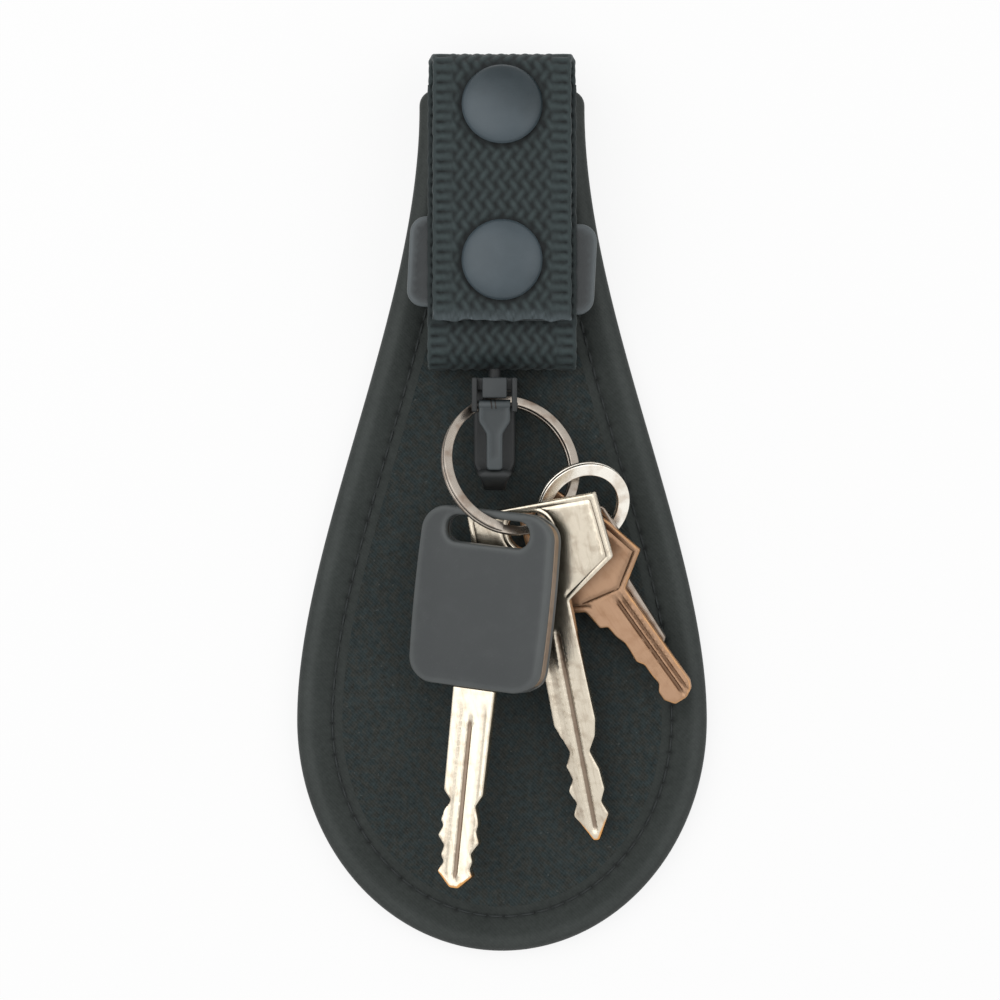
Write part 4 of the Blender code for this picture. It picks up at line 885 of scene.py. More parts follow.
def web_shell(places, along, widths, sealed_end=0.0):
    """A woven strap along its path: its weave on both faces, soft edges and a melted end."""
    # Columns stand a little closer towards the edges
    shares = np.linspace(-1, 1, WEB_COLUMNS)
    shares = np.sign(shares) * (1 - (1 - np.abs(shares)) ** 1.12)
    rows, crowns, sealed, lay = [], [], [], []
    for place, forward, s, width in zip(places, headings(places), along, widths):
        half = width / 2 + 0.12 * MM * waver(s, 2 * RIB_PITCH, 0.7)
        across = shares * half
        height = weave(across, np.full(WEB_COLUMNS, s), width)
        rim = np.clip((np.abs(across) - (half - WEB_EDGE)) / WEB_EDGE, 0, 1)
        body = np.sqrt(np.maximum(1 - rim**2, 0.02))
        melt = sealed_end * hump(s, along[-1], MELT_REACH)
        # Heat leaves beads along the cut end, and the snaps press the yarns down round their feet
        lumps = 0.5 + 0.8 * waver(across, 2.7 * MM, 3.0) * waver(across, 1.4 * MM, 1.9 * s / MM)
        lumps = np.clip(lumps, 0, 1)
        # Painted shade as well: the lowered crowns darken the web round each cap's foot
        near_snap = [np.hypot(across, place[0] - y) for y in SNAP_YS.values()]
        foot = np.minimum(*near_snap) - CAP_RADIUS
        height = height * (1 - 0.75 * hump(foot, 0.2 * MM, 0.6 * MM))
        height = height * (1 - melt) + (0.35 + 0.7 * lumps) * melt
        face = WEB_THICKNESS / 2 * body + (height - YARN_MEAN) * YARN_SIZE[2] * body
        ragged = melt * 0.35 * MM * waver(across, 6.1 * MM, 5.0)
        for side in (1, -1):
            order = slice(None, None, side)
            lift = side * face
            y = place[0] + forward[1] * lift + forward[0] * ragged
            z = place[1] - forward[0] * lift
            rows.append(np.column_stack([across, y, z])[order])
            crowns.append(height[order])
            # The melted end's mark, strongest on the beads' tops: its gloss and a painted sheen
            sealed.append((melt * (0.1 + 0.9 * lumps**2))[order])
            lay.append(np.column_stack([across, np.full(WEB_COLUMNS, s), lift])[order])
    points, faces = sleeve(np.array(rows).reshape(len(places), 2 * WEB_COLUMNS, 3))
    notes = {"crown": np.ravel(crowns), "sealed": np.ravel(sealed), "lay": np.concatenate(lay)}
    return points, faces, notes


def make_belt_loop(webbing):
    """The strap that folds over the top and snaps shut, and the inner web that holds the hook."""
    fold = (TOP_FOLD_Y, BACK_WEB_Z + TOP_FOLD_RADIUS)
    line = [(BACK_LOW.y, BACK_WEB_Z)]
    line += arc(fold, TOP_FOLD_RADIUS, -90, 90, 24)
    down = np.linspace(TOP_FOLD_Y, OUTER_LOW.y, 40)[1:]
    line += [(y, OUTER_WEB_Z - float(front_drop(y))) for y in down]
    places, along = web_path(line)
    back_width, front_width = BACK_HIGH.x - BACK_LOW.x, OUTER_HIGH.x - OUTER_LOW.x
    change = smooth_step(places[:, 1], BACK_WEB_Z, OUTER_WEB_Z - LOOP_DROP)
    widths = back_width + (front_width - back_width) * change
    points, faces, notes = web_shell(places, along, widths, 1.0)
    strap = piece(
        "belt_strap", points, faces, webbing, None,
        "belt_loop_back_web", "belt_loop_outer_web", notes=notes,
    )
    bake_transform(strap)

    fold = (HOOK_FOLD_Y, BACK_WEB_Z + HOOK_FOLD_RADIUS)
    down = np.linspace(INNER_HIGH.y, HOOK_FOLD_Y, 50)
    line = [(y, INNER_WEB_Z - float(front_drop(y))) for y in down]
    line += arc(fold, HOOK_FOLD_RADIUS, 90, 270, 24)[1:]
    line.append((BACK_LOW.y - 0.3 * MM, BACK_WEB_Z))
    places, along = web_path(line)
    width = INNER_HIGH.x - INNER_LOW.x
    points, faces, notes = web_shell(places, along + 0.9 * MM, np.full(len(places), width))
    # Painted shade: the inner web darkens where it runs under the outer strap's end
    shaded = smooth_step(points[:, 1], OUTER_LOW.y - 3 * MM, OUTER_LOW.y + 1 * MM)
    notes["crown"] = notes["crown"] * (1 - 0.45 * shaded)
    piece("hook_web", points, faces, webbing, "holder", "belt_loop_inner_web", notes=notes)


def snap_frame(y, height):
    """The middle of a front web at a snap, tilted as the web is."""
    slope = 2 * LOOP_DROP * max(0.0, y - DROP_START_Y) / (TOP_FOLD_Y - DROP_START_Y) ** 2
    place = Matrix.Translation((0, y, height - float(front_drop(y))))
    return place @ Matrix.Rotation(-math.atan(slope), 4, "X")


def make_snap(position, enamel, steel):
    """Cap and socket on the snapping strap, stud and post on the web behind it."""
    y = SNAP_YS[position]
    half, fit = WEB_THICKNESS / 2, 0.3 * MM
    place = snap_frame(y, OUTER_WEB_Z)
    stem, foot = 1.3 * MM, half + 0.12 * MM
    profile = [(0.0, -half), (stem, -half), (stem, foot), (CAP_RADIUS - 0.5 * MM, foot)]
    profile += [(CAP_RADIUS - 0.1 * MM, foot + 0.05 * MM), (CAP_RADIUS, foot + 0.22 * MM)]
    profile += [(CAP_RADIUS, foot + 0.32 * MM), (CAP_RADIUS - 0.08 * MM, foot + CAP_RIM)]
    inner = CAP_RADIUS - 0.14 * MM
    for angle in np.radians(np.linspace(5, 90, 20)):
        lift = (CAP_HEIGHT - CAP_RIM) * math.sin(angle) ** 1.1
        profile.append((inner * math.cos(angle) ** 0.96, foot + CAP_RIM + lift))
    cap = turned(profile, place, 120)
    # Painted light on the upper cap: paler towards its lower left, darker towards its top and
    # right; the lower cap gets one even, paler tone
    lean = (cap[0][:, 1] - y) * 0.9 + cap[0][:, 0] * 0.5
    rubbed = 1 - 0.95 * smooth_step(lean, -5 * MM, 6 * MM)
    if position == "lower":
        rubbed = np.full(len(lean), 0.85)

    bore, outer = 2.5 * MM, 5.0 * MM
    top = -half - fit
    bottom = top - 0.9 * MM
    profile = [(bore, top), (outer, top), (outer, bottom), (3.9 * MM, bottom - 0.1 * MM)]
    profile += [(bore, bottom), (2.3 * MM, (top + bottom) / 2), (bore, top)]
    socket = turned_ring(eased(profile, 0.25 * MM), place)

    place = snap_frame(y, INNER_WEB_Z)
    room = PLATE_THICKNESS + fit if position == "lower" else 0.0
    top = -half - fit - room
    bottom = top - 0.6 * MM
    knob, neck, pin = half + 1.1 * MM, 1.5 * MM, 0.55 * MM
    profile = [(0.0, knob), (1.45 * MM, knob), (1.9 * MM, (knob + half) / 2), (neck, half + fit)]
    profile += [(neck, top + fit), (pin, top + fit), (pin, bottom), (0.0, bottom)]
    stud = turned(eased(profile, 0.2 * MM), place)
    bore, outer = 0.8 * MM, 4.2 * MM
    profile = [(bore, top), (outer, top), (outer, bottom), (bore, bottom)]
    post = turned_ring(eased(profile + profile[:1], 0.15 * MM), place)

    for part, shell, finish, body, notes in (
        ("cap", cap, enamel, "closing_strap", {"rubbed": rubbed}),
        ("socket", socket, steel, "closing_strap", None),
        ("stud", stud, steel, "holder", None),
        ("post", post, steel, "holder", None),
    ):
        node = f"{position}_snap_{part}"
        piece(f"{position}_{part}", *shell, finish, body, node, notes=notes)


def make_plate(plastic):
    """The moulded plate behind the snapped web; its ends show on both sides."""
    z = INNER_WEB_Z - WEB_THICKNESS / 2 - 0.3 * MM - PLATE_THICKNESS / 2
    place = Matrix.Translation((0, FLAP_HIGH.y - PLATE_DROP, z))
    place = place @ Matrix.Rotation(math.radians(PLATE_TURN), 4, "Z")
    hole = arc((0.0, PLATE_DROP - SNAP_DROPS["lower"]), 1.8 * MM, 0, 360, 24)[:-1]
    rows = mm(0.06, 0.2, 0.4, 0.9)
    plane, faces, distance, _ = fine_plane(rounded_rectangle(*PLATE_SIZE), [hole], rows, 1.0 * MM)
    lip = 0.12 * MM * hump(distance, 0.9 * MM, 0.5 * MM)
    height = PLATE_THICKNESS / 2 - rounded(distance, 0.4 * MM)
    points, faces = slab(plane, faces, height + lip, -height)
    # Painted highlight along the plate's edges
    notes = {"rubbed": np.tile(hump(distance, 0, 0.9 * MM), 2)}
    points = moved(place, points)
    piece("stiffener", points, faces, plastic, "holder", "stiffener_plate", notes=notes)


def rod(radius, half, edge, y, z, steps):
    """A round bar across the hook, with eased ends."""
    place = Matrix.Translation((HOOK_X, y, z)) @ Matrix.Rotation(math.pi / 2, 4, "Y")
    profile = [(0.0, -half), (radius, -half), (radius, half), (0.0, half)]
    return turned(eased(profile, edge), place, steps)


def make_hook_eye(plastic):
    """The bar in the web's fold, and the stem and head that the hook swivels on."""
    low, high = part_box("hook_eye")
    bar_radius = 1.8 * MM
    bar_y = high.y - bar_radius
    bar = rod(bar_radius, (high.x - low.x) / 2, 0.5 * MM, bar_y, SWIVEL_Z, 40)
    down = Matrix.Translation((HOOK_X, 0, SWIVEL_Z)) @ Matrix.Rotation(-math.pi / 2, 4, "X")
    shoulder = HOOK_HIGH.y - 1.5 * MM
    profile = [(0.0, low.y), (1.6 * MM, low.y), (2.0 * MM, low.y + 0.5 * MM), (2.0 * MM, shoulder)]
    profile += [(1.2 * MM, shoulder), (1.2 * MM, bar_y), (0.0, bar_y)]
    stem = turned(eased(profile, 0.2 * MM), down, 40)
    points, faces = joined(bar, stem)
    notes = {"rubbed": np.zeros(len(points))}
    piece("swivel_eye", points, faces, plastic, "holder", "hook_eye", notes=notes)


def make_hook(plastic, steel):
    """Spine, bend and nose in one sweep, and the block and cheeks round the gate's pin."""
    centre = (BEND_Y, HOOK_LOW.z + BEND_RADIUS)
    spine_z = HOOK_LOW.z + SPINE_THICKNESS / 2
    line = [(HOOK_HIGH.y - 0.6 * MM, spine_z), (BEND_Y + 3 * MM, spine_z)]
    bend = arc(centre, BEND_RADIUS - SPINE_THICKNESS / 2, 270, 119, 40)
    line = list(spaced(line + [bend[0]], 0.8 * MM)) + [np.array(point) for point in bend[1:]]
    line = np.array(line)
    narrow_y, broad_y = BEND_Y - 5.6 * MM, BEND_Y - 1.0 * MM
    broad = HOOK_WIDTH - 0.5 * MM
    rows = []
    for i, (place, forward) in enumerate(zip(line, headings(line))):
        share = 1 - float(smooth_step(place[0], narrow_y, broad_y))
        width = broad + (NOSE_WIDTH - broad) * share
        end = min(i, len(line) - 1 - i)
        slim = math.sqrt(min(1.0, (end + 0.4) / 2.2))
        width, thickness = width * slim, SPINE_THICKNESS * slim
        section = wire_section(width, thickness, min(width, thickness) * 0.36)
        normal = np.array([forward[1], -forward[0]])
        rows.append([(HOOK_X + x, *(place + normal * n)) for x, n in section])
    shells = [sleeve(rows)]

    half, top, front = HOOK_WIDTH / 2, HOOK_HIGH.y, HOOK_HIGH.z
    block_y, cheek_y, throat_y = top - 3.8 * MM, top - 6.4 * MM, top - 2.4 * MM
    cheek_z = front - CHEEK_DEPTH
    soft, cheek_soft = 0.32 * MM, 0.3 * MM
    for left, right, low_y, low_z, high_z, edge in (
        (-half, half, throat_y, HOOK_LOW.z, cheek_z + 0.4 * MM, soft),
        (-BLOCK_HALF, BLOCK_HALF, block_y, cheek_z - 0.5 * MM, front, soft),
        (-half, CHEEK - half, cheek_y, cheek_z, front - 0.1 * MM, cheek_soft),
        (half - CHEEK, half, cheek_y, cheek_z, front - 0.1 * MM, cheek_soft),
    ):
        low, high = (HOOK_X + left, low_y, low_z), (HOOK_X + right, top, high_z)
        shells.append(round_box(low, high, edge))
    points, faces = joined(*shells)
    # Painted light: paler towards the front faces, which face the lamps, and palest on the block's
    # top
    on_block = np.abs(points[:, 0] - HOOK_X) < BLOCK_HALF + 0.1 * MM
    worn = 0.12 + 0.6 * on_block * (points[:, 1] > block_y - 0.1 * MM)
    notes = {"rubbed": worn * smooth_step(points[:, 2], front - 3 * MM, front)}
    piece("hook", points, faces, plastic, "swivel_hook", "hook_body", notes=notes)

    low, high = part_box("gate_pin")
    pin = rod(0.5 * MM, (high.x - low.x) / 2 + 0.15 * MM, 0.2 * MM, PIVOT_Y, GATE_Z, 32)
    piece("hinge_pin", *pin, steel, "swivel_hook", "gate_pin")


def make_gate(plastic, steel):
    """The gate: a wide shoulder on its knuckle, tapering to a bar that closes on the nose."""
    wide, narrow = GATE_WIDE, GATE_NARROW
    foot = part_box("hook_gate")[0].y
    shoulder, taper = PIVOT_Y - 3.1 * MM, 2.3 * MM
    right = [(wide, PIVOT_Y + 0.1 * MM), (wide, PIVOT_Y), (wide, shoulder)]
    right += [(narrow, shoulder - taper), (narrow, foot + 0.4 * MM), (narrow - 0.5 * MM, foot)]
    right = eased(right, 0.5 * MM)
    outline = [(-x, y) for x, y in right] + right[::-1]
    rows = mm(0.05, 0.16, 0.34, 0.6)
    plane, faces, distance, _ = fine_plane(outline, [], rows, 0.5 * MM)
    height = GATE_THICKNESS / 2 - rounded(distance, 0.34 * MM)
    dish = 0.18 * MM * smooth_step(distance, 0.5 * MM, 1.1 * MM)
    dish *= smooth_step(plane[:, 1], foot + 1.5 * MM, foot + 3 * MM)
    points, faces = slab(plane, faces, height - dish, -height)
    lever = moved(Matrix.Translation((HOOK_X, 0, GATE_Z)), points), faces
    points, faces = joined(lever, rod(1.0 * MM, wide, 0.2 * MM, PIVOT_Y, GATE_Z, 40))
    # Painted highlight: the lever's front face is paler
    notes = {"rubbed": 0.6 * smooth_step(points[:, 2], GATE_Z + 0.5 * MM, GATE_Z + 0.9 * MM)}
    piece("gate_lever", points, faces, plastic, "gate", "hook_gate", notes=notes)

    coil = []
    for angle in np.linspace(-math.tau, math.tau, 97):
        y, z = PIVOT_Y + 0.91 * MM * math.cos(angle), GATE_Z + 0.91 * MM * math.sin(angle)
        coil.append((HOOK_X + 0.75 * MM * angle / math.tau, y, z))
    piece("gate_coil", *wire(coil, 0.16 * MM), steel, "gate", "gate_spring")


def wire(line, radius, around=10):
    """A round wire along a line that is nowhere straight along X."""
    line = np.array(line)
    ahead = headings(line)
    side = np.cross(ahead, (1, 0, 0))
    side /= np.linalg.norm(side, axis=1)[:, None]
    other = np.cross(ahead, side)
    rows = []
    for place, a, b in zip(line, side, other):
        angles = np.linspace(0, math.tau, around, endpoint=False)
        rows.append([place + radius * (a * math.cos(t) + b * math.sin(t)) for t in angles])
    return sleeve(rows)


def ring_frame(centre, tilt):
    """A ring's middle, tilted about X and then about Y."""
    turn = Matrix.Rotation(math.radians(tilt[1]), 4, "Y")
    turn = turn @ Matrix.Rotation(math.radians(tilt[0]), 4, "X")
    return Matrix.Translation(centre) @ turn


def make_split_ring(name, sizes, place, finish, body, node):
    """Two turns of flat wire that lie on each other, with a step from one to the next.

    Each turn is thickened towards the other, so that only a thin line shows between them.
    """
    diameter, width, thickness = sizes
    pitch = thickness + TURN_GAP
    radius = (diameter - width) / 2
    step, end_gap, first = math.radians(30), math.radians(15), math.radians(-60)
    corner = min(width, thickness) * 0.3
    total = 2 * math.tau - step - end_gap
    count = 420
    fill = TURN_GAP - 0.06 * MM
    rows = []
    for i in range(count + 1):
        angle = total * i / count
        rise = float(smooth_step(angle, math.tau - step, math.tau))
        level = pitch * (rise - 0.5)
        low = level - thickness / 2 - fill / 2 * rise
        high = level + thickness / 2 + fill / 2 * (1 - rise)
        end = min(i, count - i)
        slim = min(1.0, 0.45 + 0.55 * end / 5)
        section = wire_section(width * (0.86 + 0.14 * slim), (high - low) * slim, corner * slim)
        turn = first + angle
        out = np.array([math.cos(turn), math.sin(turn)])
        rows.append([(*(out * (radius + x)), (low + high) / 2 + z) for x, z in section])
    points, faces = sleeve(rows)
    piece(name, moved(place, points), faces, finish, body, node)


def key_frame(ring, sizes, hangs, hole=(0.0, 0.0)):
    """A key's place, from the turn round its ring and how the wire sits in its hole."""
    angle, slip, (lean, pitch, roll) = hangs
    radius = (sizes[0] - sizes[1]) / 2
    turn = Matrix.Rotation(math.radians(lean), 4, "Z")
    turn = turn @ Matrix.Rotation(math.radians(pitch), 4, "X")
    turn = turn @ Matrix.Rotation(math.radians(roll), 4, "Y")
    angle = math.radians(angle)
    wire_place = ring @ Vector((radius * math.cos(angle), radius * math.sin(angle), 0))
    place = Matrix.Translation(wire_place - turn @ Vector((*slip, 0))) @ turn
    return place @ Matrix.Translation((-hole[0], -hole[1], 0))


def in_mm(*points):
    """Points in a plane, or other sets of lengths, written in millimetres."""
    return [mm(*point) for point in points]


def milled(x, y, cuts, tip):
    """How deep a blade is milled, from grooves of (middle, half width, slope, depth, start)."""
    depth = np.zeros(len(x))
    for middle, half, slope, deep, start in cuts:
        across = smooth_step(np.abs(x - middle), half + slope, half)
        run = smooth_step(y, start, start - 3.0 * MM) * smooth_step(y, tip, tip + 2.2 * MM)
        depth = np.maximum(depth, deep * across * run)
    return depth


def flat_key(
    name, node, body, place, finish, outline, holes, thickness, tip, cuts, rim, worn,
    tip_worn=(0.0, 0.0, MM), score=(),
):
    """A key stamped from plate: eased edges, a milled blade, and wear where it is handled.

    The rim is a step's distance from the edge, its width, depth and lowest place. Worn is the
    wear of the edges, and tip_worn how much more there is at the tip and where it sets in.
    """
    inset_by, width, step, lowest = rim
    rows = mm(0.05, 0.16, 0.3, 0.55)
    rows += (inset_by - 0.22 * MM, inset_by, inset_by + 0.22 * MM)
    extra = []
    if score:
        a, b = np.array(score)
        off = np.array([a[1] - b[1], b[0] - a[0]]) / np.linalg.norm(b - a) * 0.25 * MM
        for t in np.linspace(0, 1, 28):
            extra += [a + (b - a) * t + off * side for side in (-1, 0, 1)]
    for middle, half, slope, _, start in cuts:
        for off in (-half - slope, -half, 0, half, half + slope):
            extra += [(middle + off, y) for y in np.arange(tip, start, 0.35 * MM)]
    outline = rounded_loop(outline, KEY_CORNER)
    plane, faces, distance, _ = fine_plane(outline, holes, rows, 0.7 * MM, extra)
    x, y = plane.T
    height = thickness / 2 - rounded(distance, 0.3 * MM)
    depth = milled(x, y, cuts, tip)
    line = hump(distance, inset_by, width) * smooth_step(y, lowest, lowest + 0.8 * MM)
    if score:
        line = np.maximum(line, hump(edge_distance(plane, [score]), 0, 0.2 * MM))
    front = height - depth - step * line
    points, faces = slab(plane, faces, front, -height + milled(-x, y, cuts, tip))
    more, start, end = tip_worn
    wear = hump(distance, 0, 0.6 * MM) * (worn + more * smooth_step(y, start, end))
    dirt = np.clip(depth / (0.3 * MM) + 0.6 * line, 0, 1)
    notes = {"wear": np.tile(wear, 2), "dirt": np.tile(dirt, 2)}
    piece(name, moved(place, points), faces, finish, body, node, notes=notes)


def make_keys(finishes, main_ring, small_ring):
    """The nickel and the car key on the large ring, the brass and the steel key on the small."""
    hole = mm(-1.6, 13.9)
    outline = in_mm(
        (-13.1, 18.3), (-13.35, 6.6), (-3.9, 0.0), (-4.1, -23.4), (-2.0, -28.8), (-3.2, -31.4),
        (-2.5, -34.1), (-3.7, -36.2), (-2.6, -38.7), (-3.6, -41.0), (-0.6, -46.2), (0.5, -46.2),
        (3.3, -41.3), (2.3, -38.8), (3.4, -36.5), (3.1, -32.5), (1.9, -29.0), (3.5, -26.2),
        (4.2, -23.0), (3.6, 0.0), (13.35, 6.9), (12.2, 19.4),
    )
    flat_key(
        "nickel_house_key", "nickel_key", "nickel_key_body",
        key_frame(main_ring, MAIN_RING, NICKEL_KEY_HANGS, hole), finishes["nickel"], outline,
        [rounded_rectangle(*mm(8.4, 6.8, 3.1), hole)], 1.9 * MM, tip=-45.4 * MM,
        cuts=in_mm((0.2, 0.3, 0.4, 0.3, -4.0), (-2.2, 0.5, 0.6, 0.15, -3.0)),
        rim=mm(1.0, 0.18, 0.16, 0.6), worn=0.35, tip_worn=(0.6, -40 * MM, -45 * MM),
    )

    hole = mm(-0.8, 17.0)
    outline = in_mm(
        (-4.4, 22.4), (-8.4, 12.5), (-10.2, 4.0), (-4.6, 0.6), (-4.3, -1.4), (-4.2, -3.4),
        (-2.8, -4.1), (-2.6, -6.4), (-1.9, -8.4), (-2.0, -10.6), (-2.2, -12.5), (-1.3, -13.8),
        (-1.3, -16.3), (-1.1, -18.2), (-2.1, -19.5), (-2.1, -21.4), (-0.8, -23.2), (1.7, -23.3),
        (3.4, -22.4), (4.1, -21.0), (4.2, 0.0), (10.8, 4.3), (8.8, 12.5), (4.4, 22.4),
    )
    flat_key(
        "brass_house_key", "brass_key", "brass_key_body",
        key_frame(small_ring, SMALL_RING, BRASS_KEY_HANGS, hole), finishes["brass"], outline,
        [arc(hole, 4.2 * MM, 0, 360, 48)[:-1]], 1.8 * MM, tip=-23.4 * MM,
        cuts=in_mm((1.6, 0.2, 0.25, 0.3, 0.8), (2.7, 0.15, 0.25, 0.25, 0.8)),
        rim=mm(1.2, 0.2, 0.2, 0.4), worn=0.75, score=in_mm((-4.0, 2.3), (3.0, 0.8)),
    )

    hole = mm(-1.6, 12.3)
    outline = in_mm(
        (-4.7, 16.9), (-7.1, 14.0), (-7.1, 4.0), (-3.9, 0.0), (-3.9, -2.0), (-2.9, -3.4),
        (-3.5, -5.4), (-2.6, -7.6), (-3.2, -9.6), (-2.7, -11.6), (-3.6, -13.2), (-0.7, -15.5),
        (0.7, -15.5), (3.9, -12.9), (3.9, 0.0), (7.1, 4.0), (7.1, 14.0), (4.7, 16.9),
    )
    flat_key(
        "steel_house_key", "steel_key", "steel_key_body",
        key_frame(small_ring, SMALL_RING, STEEL_KEY_HANGS, hole), finishes["steel"], outline,
        [rounded_rectangle(*mm(9.6, 7.0, 3.2), hole)], 1.8 * MM, tip=-14.6 * MM,
        cuts=in_mm((1.9, 0.5, 0.3, 0.3, -1.0)), rim=mm(1.2, 0.25, 0.12, 0.4), worn=0.3,
    )
    make_car_key(finishes, key_frame(main_ring, MAIN_RING, CAR_KEY_HANGS))


def flared(points):
    """The head's points, its right side moved out and more so towards its back."""
    points = points.copy()
    reach = smooth_step(points[:, 0], 8 * MM, 12.4 * MM)
    points[:, 0] += reach * (0.25 * MM + 0.3 * (HEAD_HALF - points[:, 2]))
    return points


def make_car_key(finishes, place):
    """A moulded head in two halves on a metal core, with a wide slot, and a milled blade."""
    outline = rounded_rectangle(*HEAD_SIZE, HEAD_CORNER, HEAD_CENTRE, HEAD_BOW)
    slot = rounded_rectangle(*mm(16.6, 5.0, 2.3), SLOT_CENTRE)
    rows = mm(0.08, 0.25, 0.5, 0.85, 1.3)
    plane, faces, distance, _ = fine_plane(outline, [slot], rows, 0.9 * MM)
    crown = 0.22 * MM * smooth_step(distance, 0.8 * MM, 6 * MM)
    face = HEAD_HALF - rounded(distance, 0.6 * MM) + crown
    level = np.full(len(plane), CORE_HALF)
    notes = {"rubbed": np.tile(hump(distance, 0, 0.8 * MM), 2)}
    for name, front, back, nodes in (
        ("key_grip_front", face, level, ("car_key_head",)),
        ("key_grip_back", -level, -face, ()),
    ):
        points, skin = slab(plane, faces, front, back)
        points = moved(place, flared(points))
        grip = piece(name, points, skin, finishes["grip"], "car_key", *nodes, notes=notes)

    blade = in_mm(
        (-3.6, -29.57), (-3.4, -49.0), (-1.9, -50.8), (-3.0, -52.9), (-3.4, -54.7), (-2.8, -55.7),
        (-3.7, -57.6), (-2.3, -59.3), (-2.7, -61.2), (-2.1, -62.4), (-3.1, -64.3), (-0.4, -67.0),
        (1.3, -67.0), (3.9, -64.4), (3.2, -63.2), (3.6, -61.7), (3.1, -60.3), (4.6, -58.1),
        (3.8, -56.1), (4.1, -54.7), (3.8, -53.4), (3.1, -51.4), (4.4, -49.2), (4.7, -29.57),
    )
    grooves = in_mm((0.5, 0.25, 0.35, 0.35, -34.0), (-1.9, 0.3, 0.6, 0.14, -31.5))
    grooves += in_mm((2.9, 0.3, 0.6, 0.14, -31.5))
    flat_key(
        "car_key_steel", "car_key_blade", "car_key", place, finishes["nickel"], blade, [],
        2.2 * MM, tip=-66.3 * MM, cuts=grooves, rim=mm(1.0, 0.2, 0.0, 0.0), worn=0.35,
        tip_worn=(0.7, -62 * MM, -66 * MM),
    )

    width, height = HEAD_SIZE[0] - 0.3 * MM, HEAD_SIZE[1] - 0.5 * MM
    outline = rounded_rectangle(width, height, 4.5 * MM, HEAD_CENTRE, HEAD_BOW)
    slot = rounded_rectangle(*mm(17.2, 5.6, 2.6), SLOT_CENTRE)
    plane, faces, _, _ = fine_plane(outline, [slot], (0.1 * MM,), 1.6 * MM)
    level = np.full(len(plane), CORE_HALF - 0.02 * MM)
    points, faces = slab(plane, faces, level, -level)
    points = flared(points)
    points[:, 0] += 0.3 * MM * smooth_step(points[:, 0], 11 * MM, 12.5 * MM)
    notes = {"wear": np.zeros(len(points)), "dirt": np.full(len(points), 0.95)}
    points = moved(place, points)
    core = piece("key_grip_core", points, faces, finishes["nickel"], "car_key", notes=notes)


def make_surroundings():
    """A pale floor, soft light from the left, and the camera straight above."""
    link = bpy.context.scene.collection.objects.link
    mesh = bpy.data.meshes.new("floor")
    signs = ((-1, -1), (1, -1), (1, 1), (-1, 1))
    corners = [(x * FLOOR_HALF, y * FLOOR_HALF, 0) for x, y in signs]
    mesh.from_pydata(corners, [], [(0, 1, 2, 3)])
    floor = bpy.data.objects.new("floor", mesh)
    floor.location.z = -0.1 * MM
    link(floor)
    matt = {"Roughness": 0.9, "Specular_IOR_Level": 0.0}
    paint = Finish("floor_paint", Base_Color=FLOOR_PAINT, **matt)
    glow = paint.node("ShaderNodeEmission", None, {"Color": WHITE, "Strength": FLOOR_GLOW})
    paint.mixed(paint.looked_at() * GLOW_SHARE, paint.shader, glow, "Material Output")
    mesh.materials.append(paint.material)

    world = bpy.data.worlds.new("soft_room")
    bpy.context.scene.world = world
    room = Tree(world)
    dim = room.nodes["Background"]
    dim.inputs["Color"].default_value = WHITE
    dim.inputs["Strength"].default_value = ROOM_STRENGTH
    backdrop = room.node("ShaderNodeBackground", None, {"Color": WHITE, "Strength": 1.0})
    room.mixed(room.looked_at(), dim, backdrop, "World Output")

    for name, (place, size, power) in LIGHTS.items():
        lamp = bpy.data.lights.new(name, "AREA")
        lamp.size = size
        lamp.energy = power
        obj = bpy.data.objects.new(name, lamp)
        obj.location = place
        obj.rotation_euler = (-Vector(place)).to_track_quat("-Z", "Y").to_euler()
        link(obj)

    lens = bpy.data.cameras.new("camera")
    lens.sensor_width = 36.0
    lens.lens = lens.sensor_width * CAMERA_HEIGHT / PHOTO_WIDTH
    camera = bpy.data.objects.new("camera", lens)
    camera.location = (*PHOTO_CENTRE, PHOTO_PLANE + CAMERA_HEIGHT)
    link(camera)
    bpy.context.scene.camera = camera
    bpy.context.scene.view_settings.view_transform = "Standard"


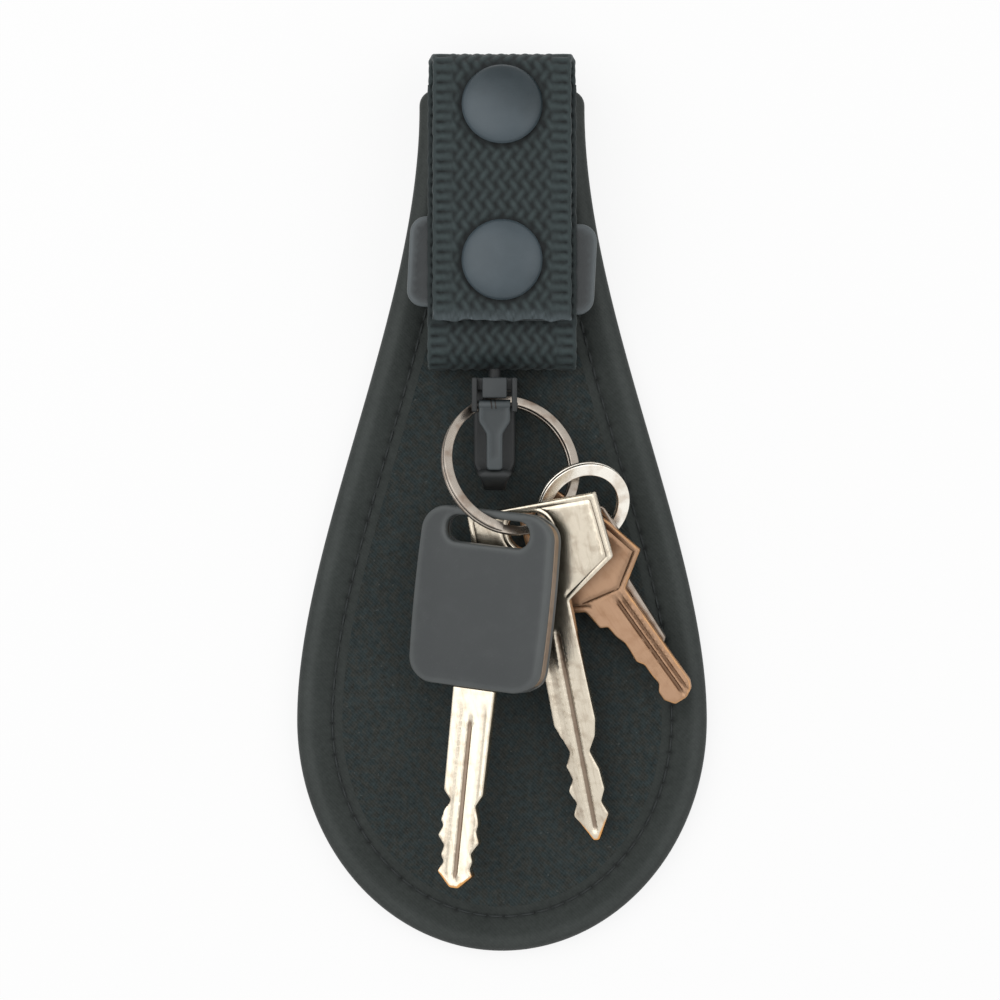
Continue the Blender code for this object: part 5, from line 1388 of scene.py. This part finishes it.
def key_finishes():
    """What the four keys are made of."""
    cream, tan, gold = screen(216, 206, 188), screen(156, 138, 118), screen(220, 162, 98)
    brass = screen(154, 124, 100), screen(128, 96, 72), screen(190, 146, 104)
    steel = screen(150, 140, 130), screen(110, 90, 74), screen(180, 170, 160)
    grip = moulded_finish("key_grip_plastic", screen(54, 58, 59), screen(84, 88, 88), 0.46)
    return {
        "grip": grip,
        "nickel": key_finish("key_nickel", cream, tan, gold, math.radians(11)),
        "brass": key_finish("key_brass", *brass, math.radians(35), 0.3),
        "steel": key_finish("key_steel", *steel, math.radians(32), 0.25),
    }


def main():
    webbing, enamel = webbing_finish(), enamel_finish()
    plastic = moulded_finish("black_plastic", screen(36, 41, 43), screen(88, 96, 99))
    # A darker copy of the gate's plastic: painted shade on the hook's body and swivel eye
    hook_plastic = moulded_finish("hook_plastic", screen(20, 23, 24), screen(52, 57, 59), 0.5)
    gate_plastic = moulded_finish("gate_plastic", screen(34, 40, 42), screen(66, 74, 77))
    steel = plated_finish("plated_steel", screen(176, 176, 174), screen(110, 104, 98))
    dark_steel = plated_finish("blackened_steel", screen(78, 76, 74), screen(48, 44, 42), 0.35)
    dull, dull_stain = screen(172, 164, 154), screen(128, 110, 96)
    bright, bright_stain = screen(252, 248, 238), screen(210, 196, 180)
    dull_ring = plated_finish("dull_ring_nickel", dull, dull_stain, 0.2)
    bright_ring = plated_finish("bright_ring_nickel", bright, bright_stain, 0.16)

    make_flap(twill_finish(), binding_finish(), thread_finish())
    make_belt_loop(webbing)
    for position in SNAP_YS:
        make_snap(position, enamel, steel)
    make_plate(plastic)
    make_hook_eye(hook_plastic)
    make_hook(hook_plastic, dark_steel)
    make_gate(gate_plastic, dark_steel)
    main_ring = ring_frame(joints["car_key_slide"]["pos_m"], MAIN_RING_TILT)
    small_ring = ring_frame(joints["small_ring_turn"]["pos_m"], SMALL_RING_TILT)
    for name, sizes, place, finish, body, node in (
        ("large_ring", MAIN_RING, main_ring, dull_ring, "main_ring", "split_ring_large"),
        ("small_ring", SMALL_RING, small_ring, bright_ring, "small_ring", "split_ring_small"),
    ):
        make_split_ring(name, sizes, place, finish, body, node)
    make_keys(key_finishes(), main_ring, small_ring)
    make_surroundings()


main()
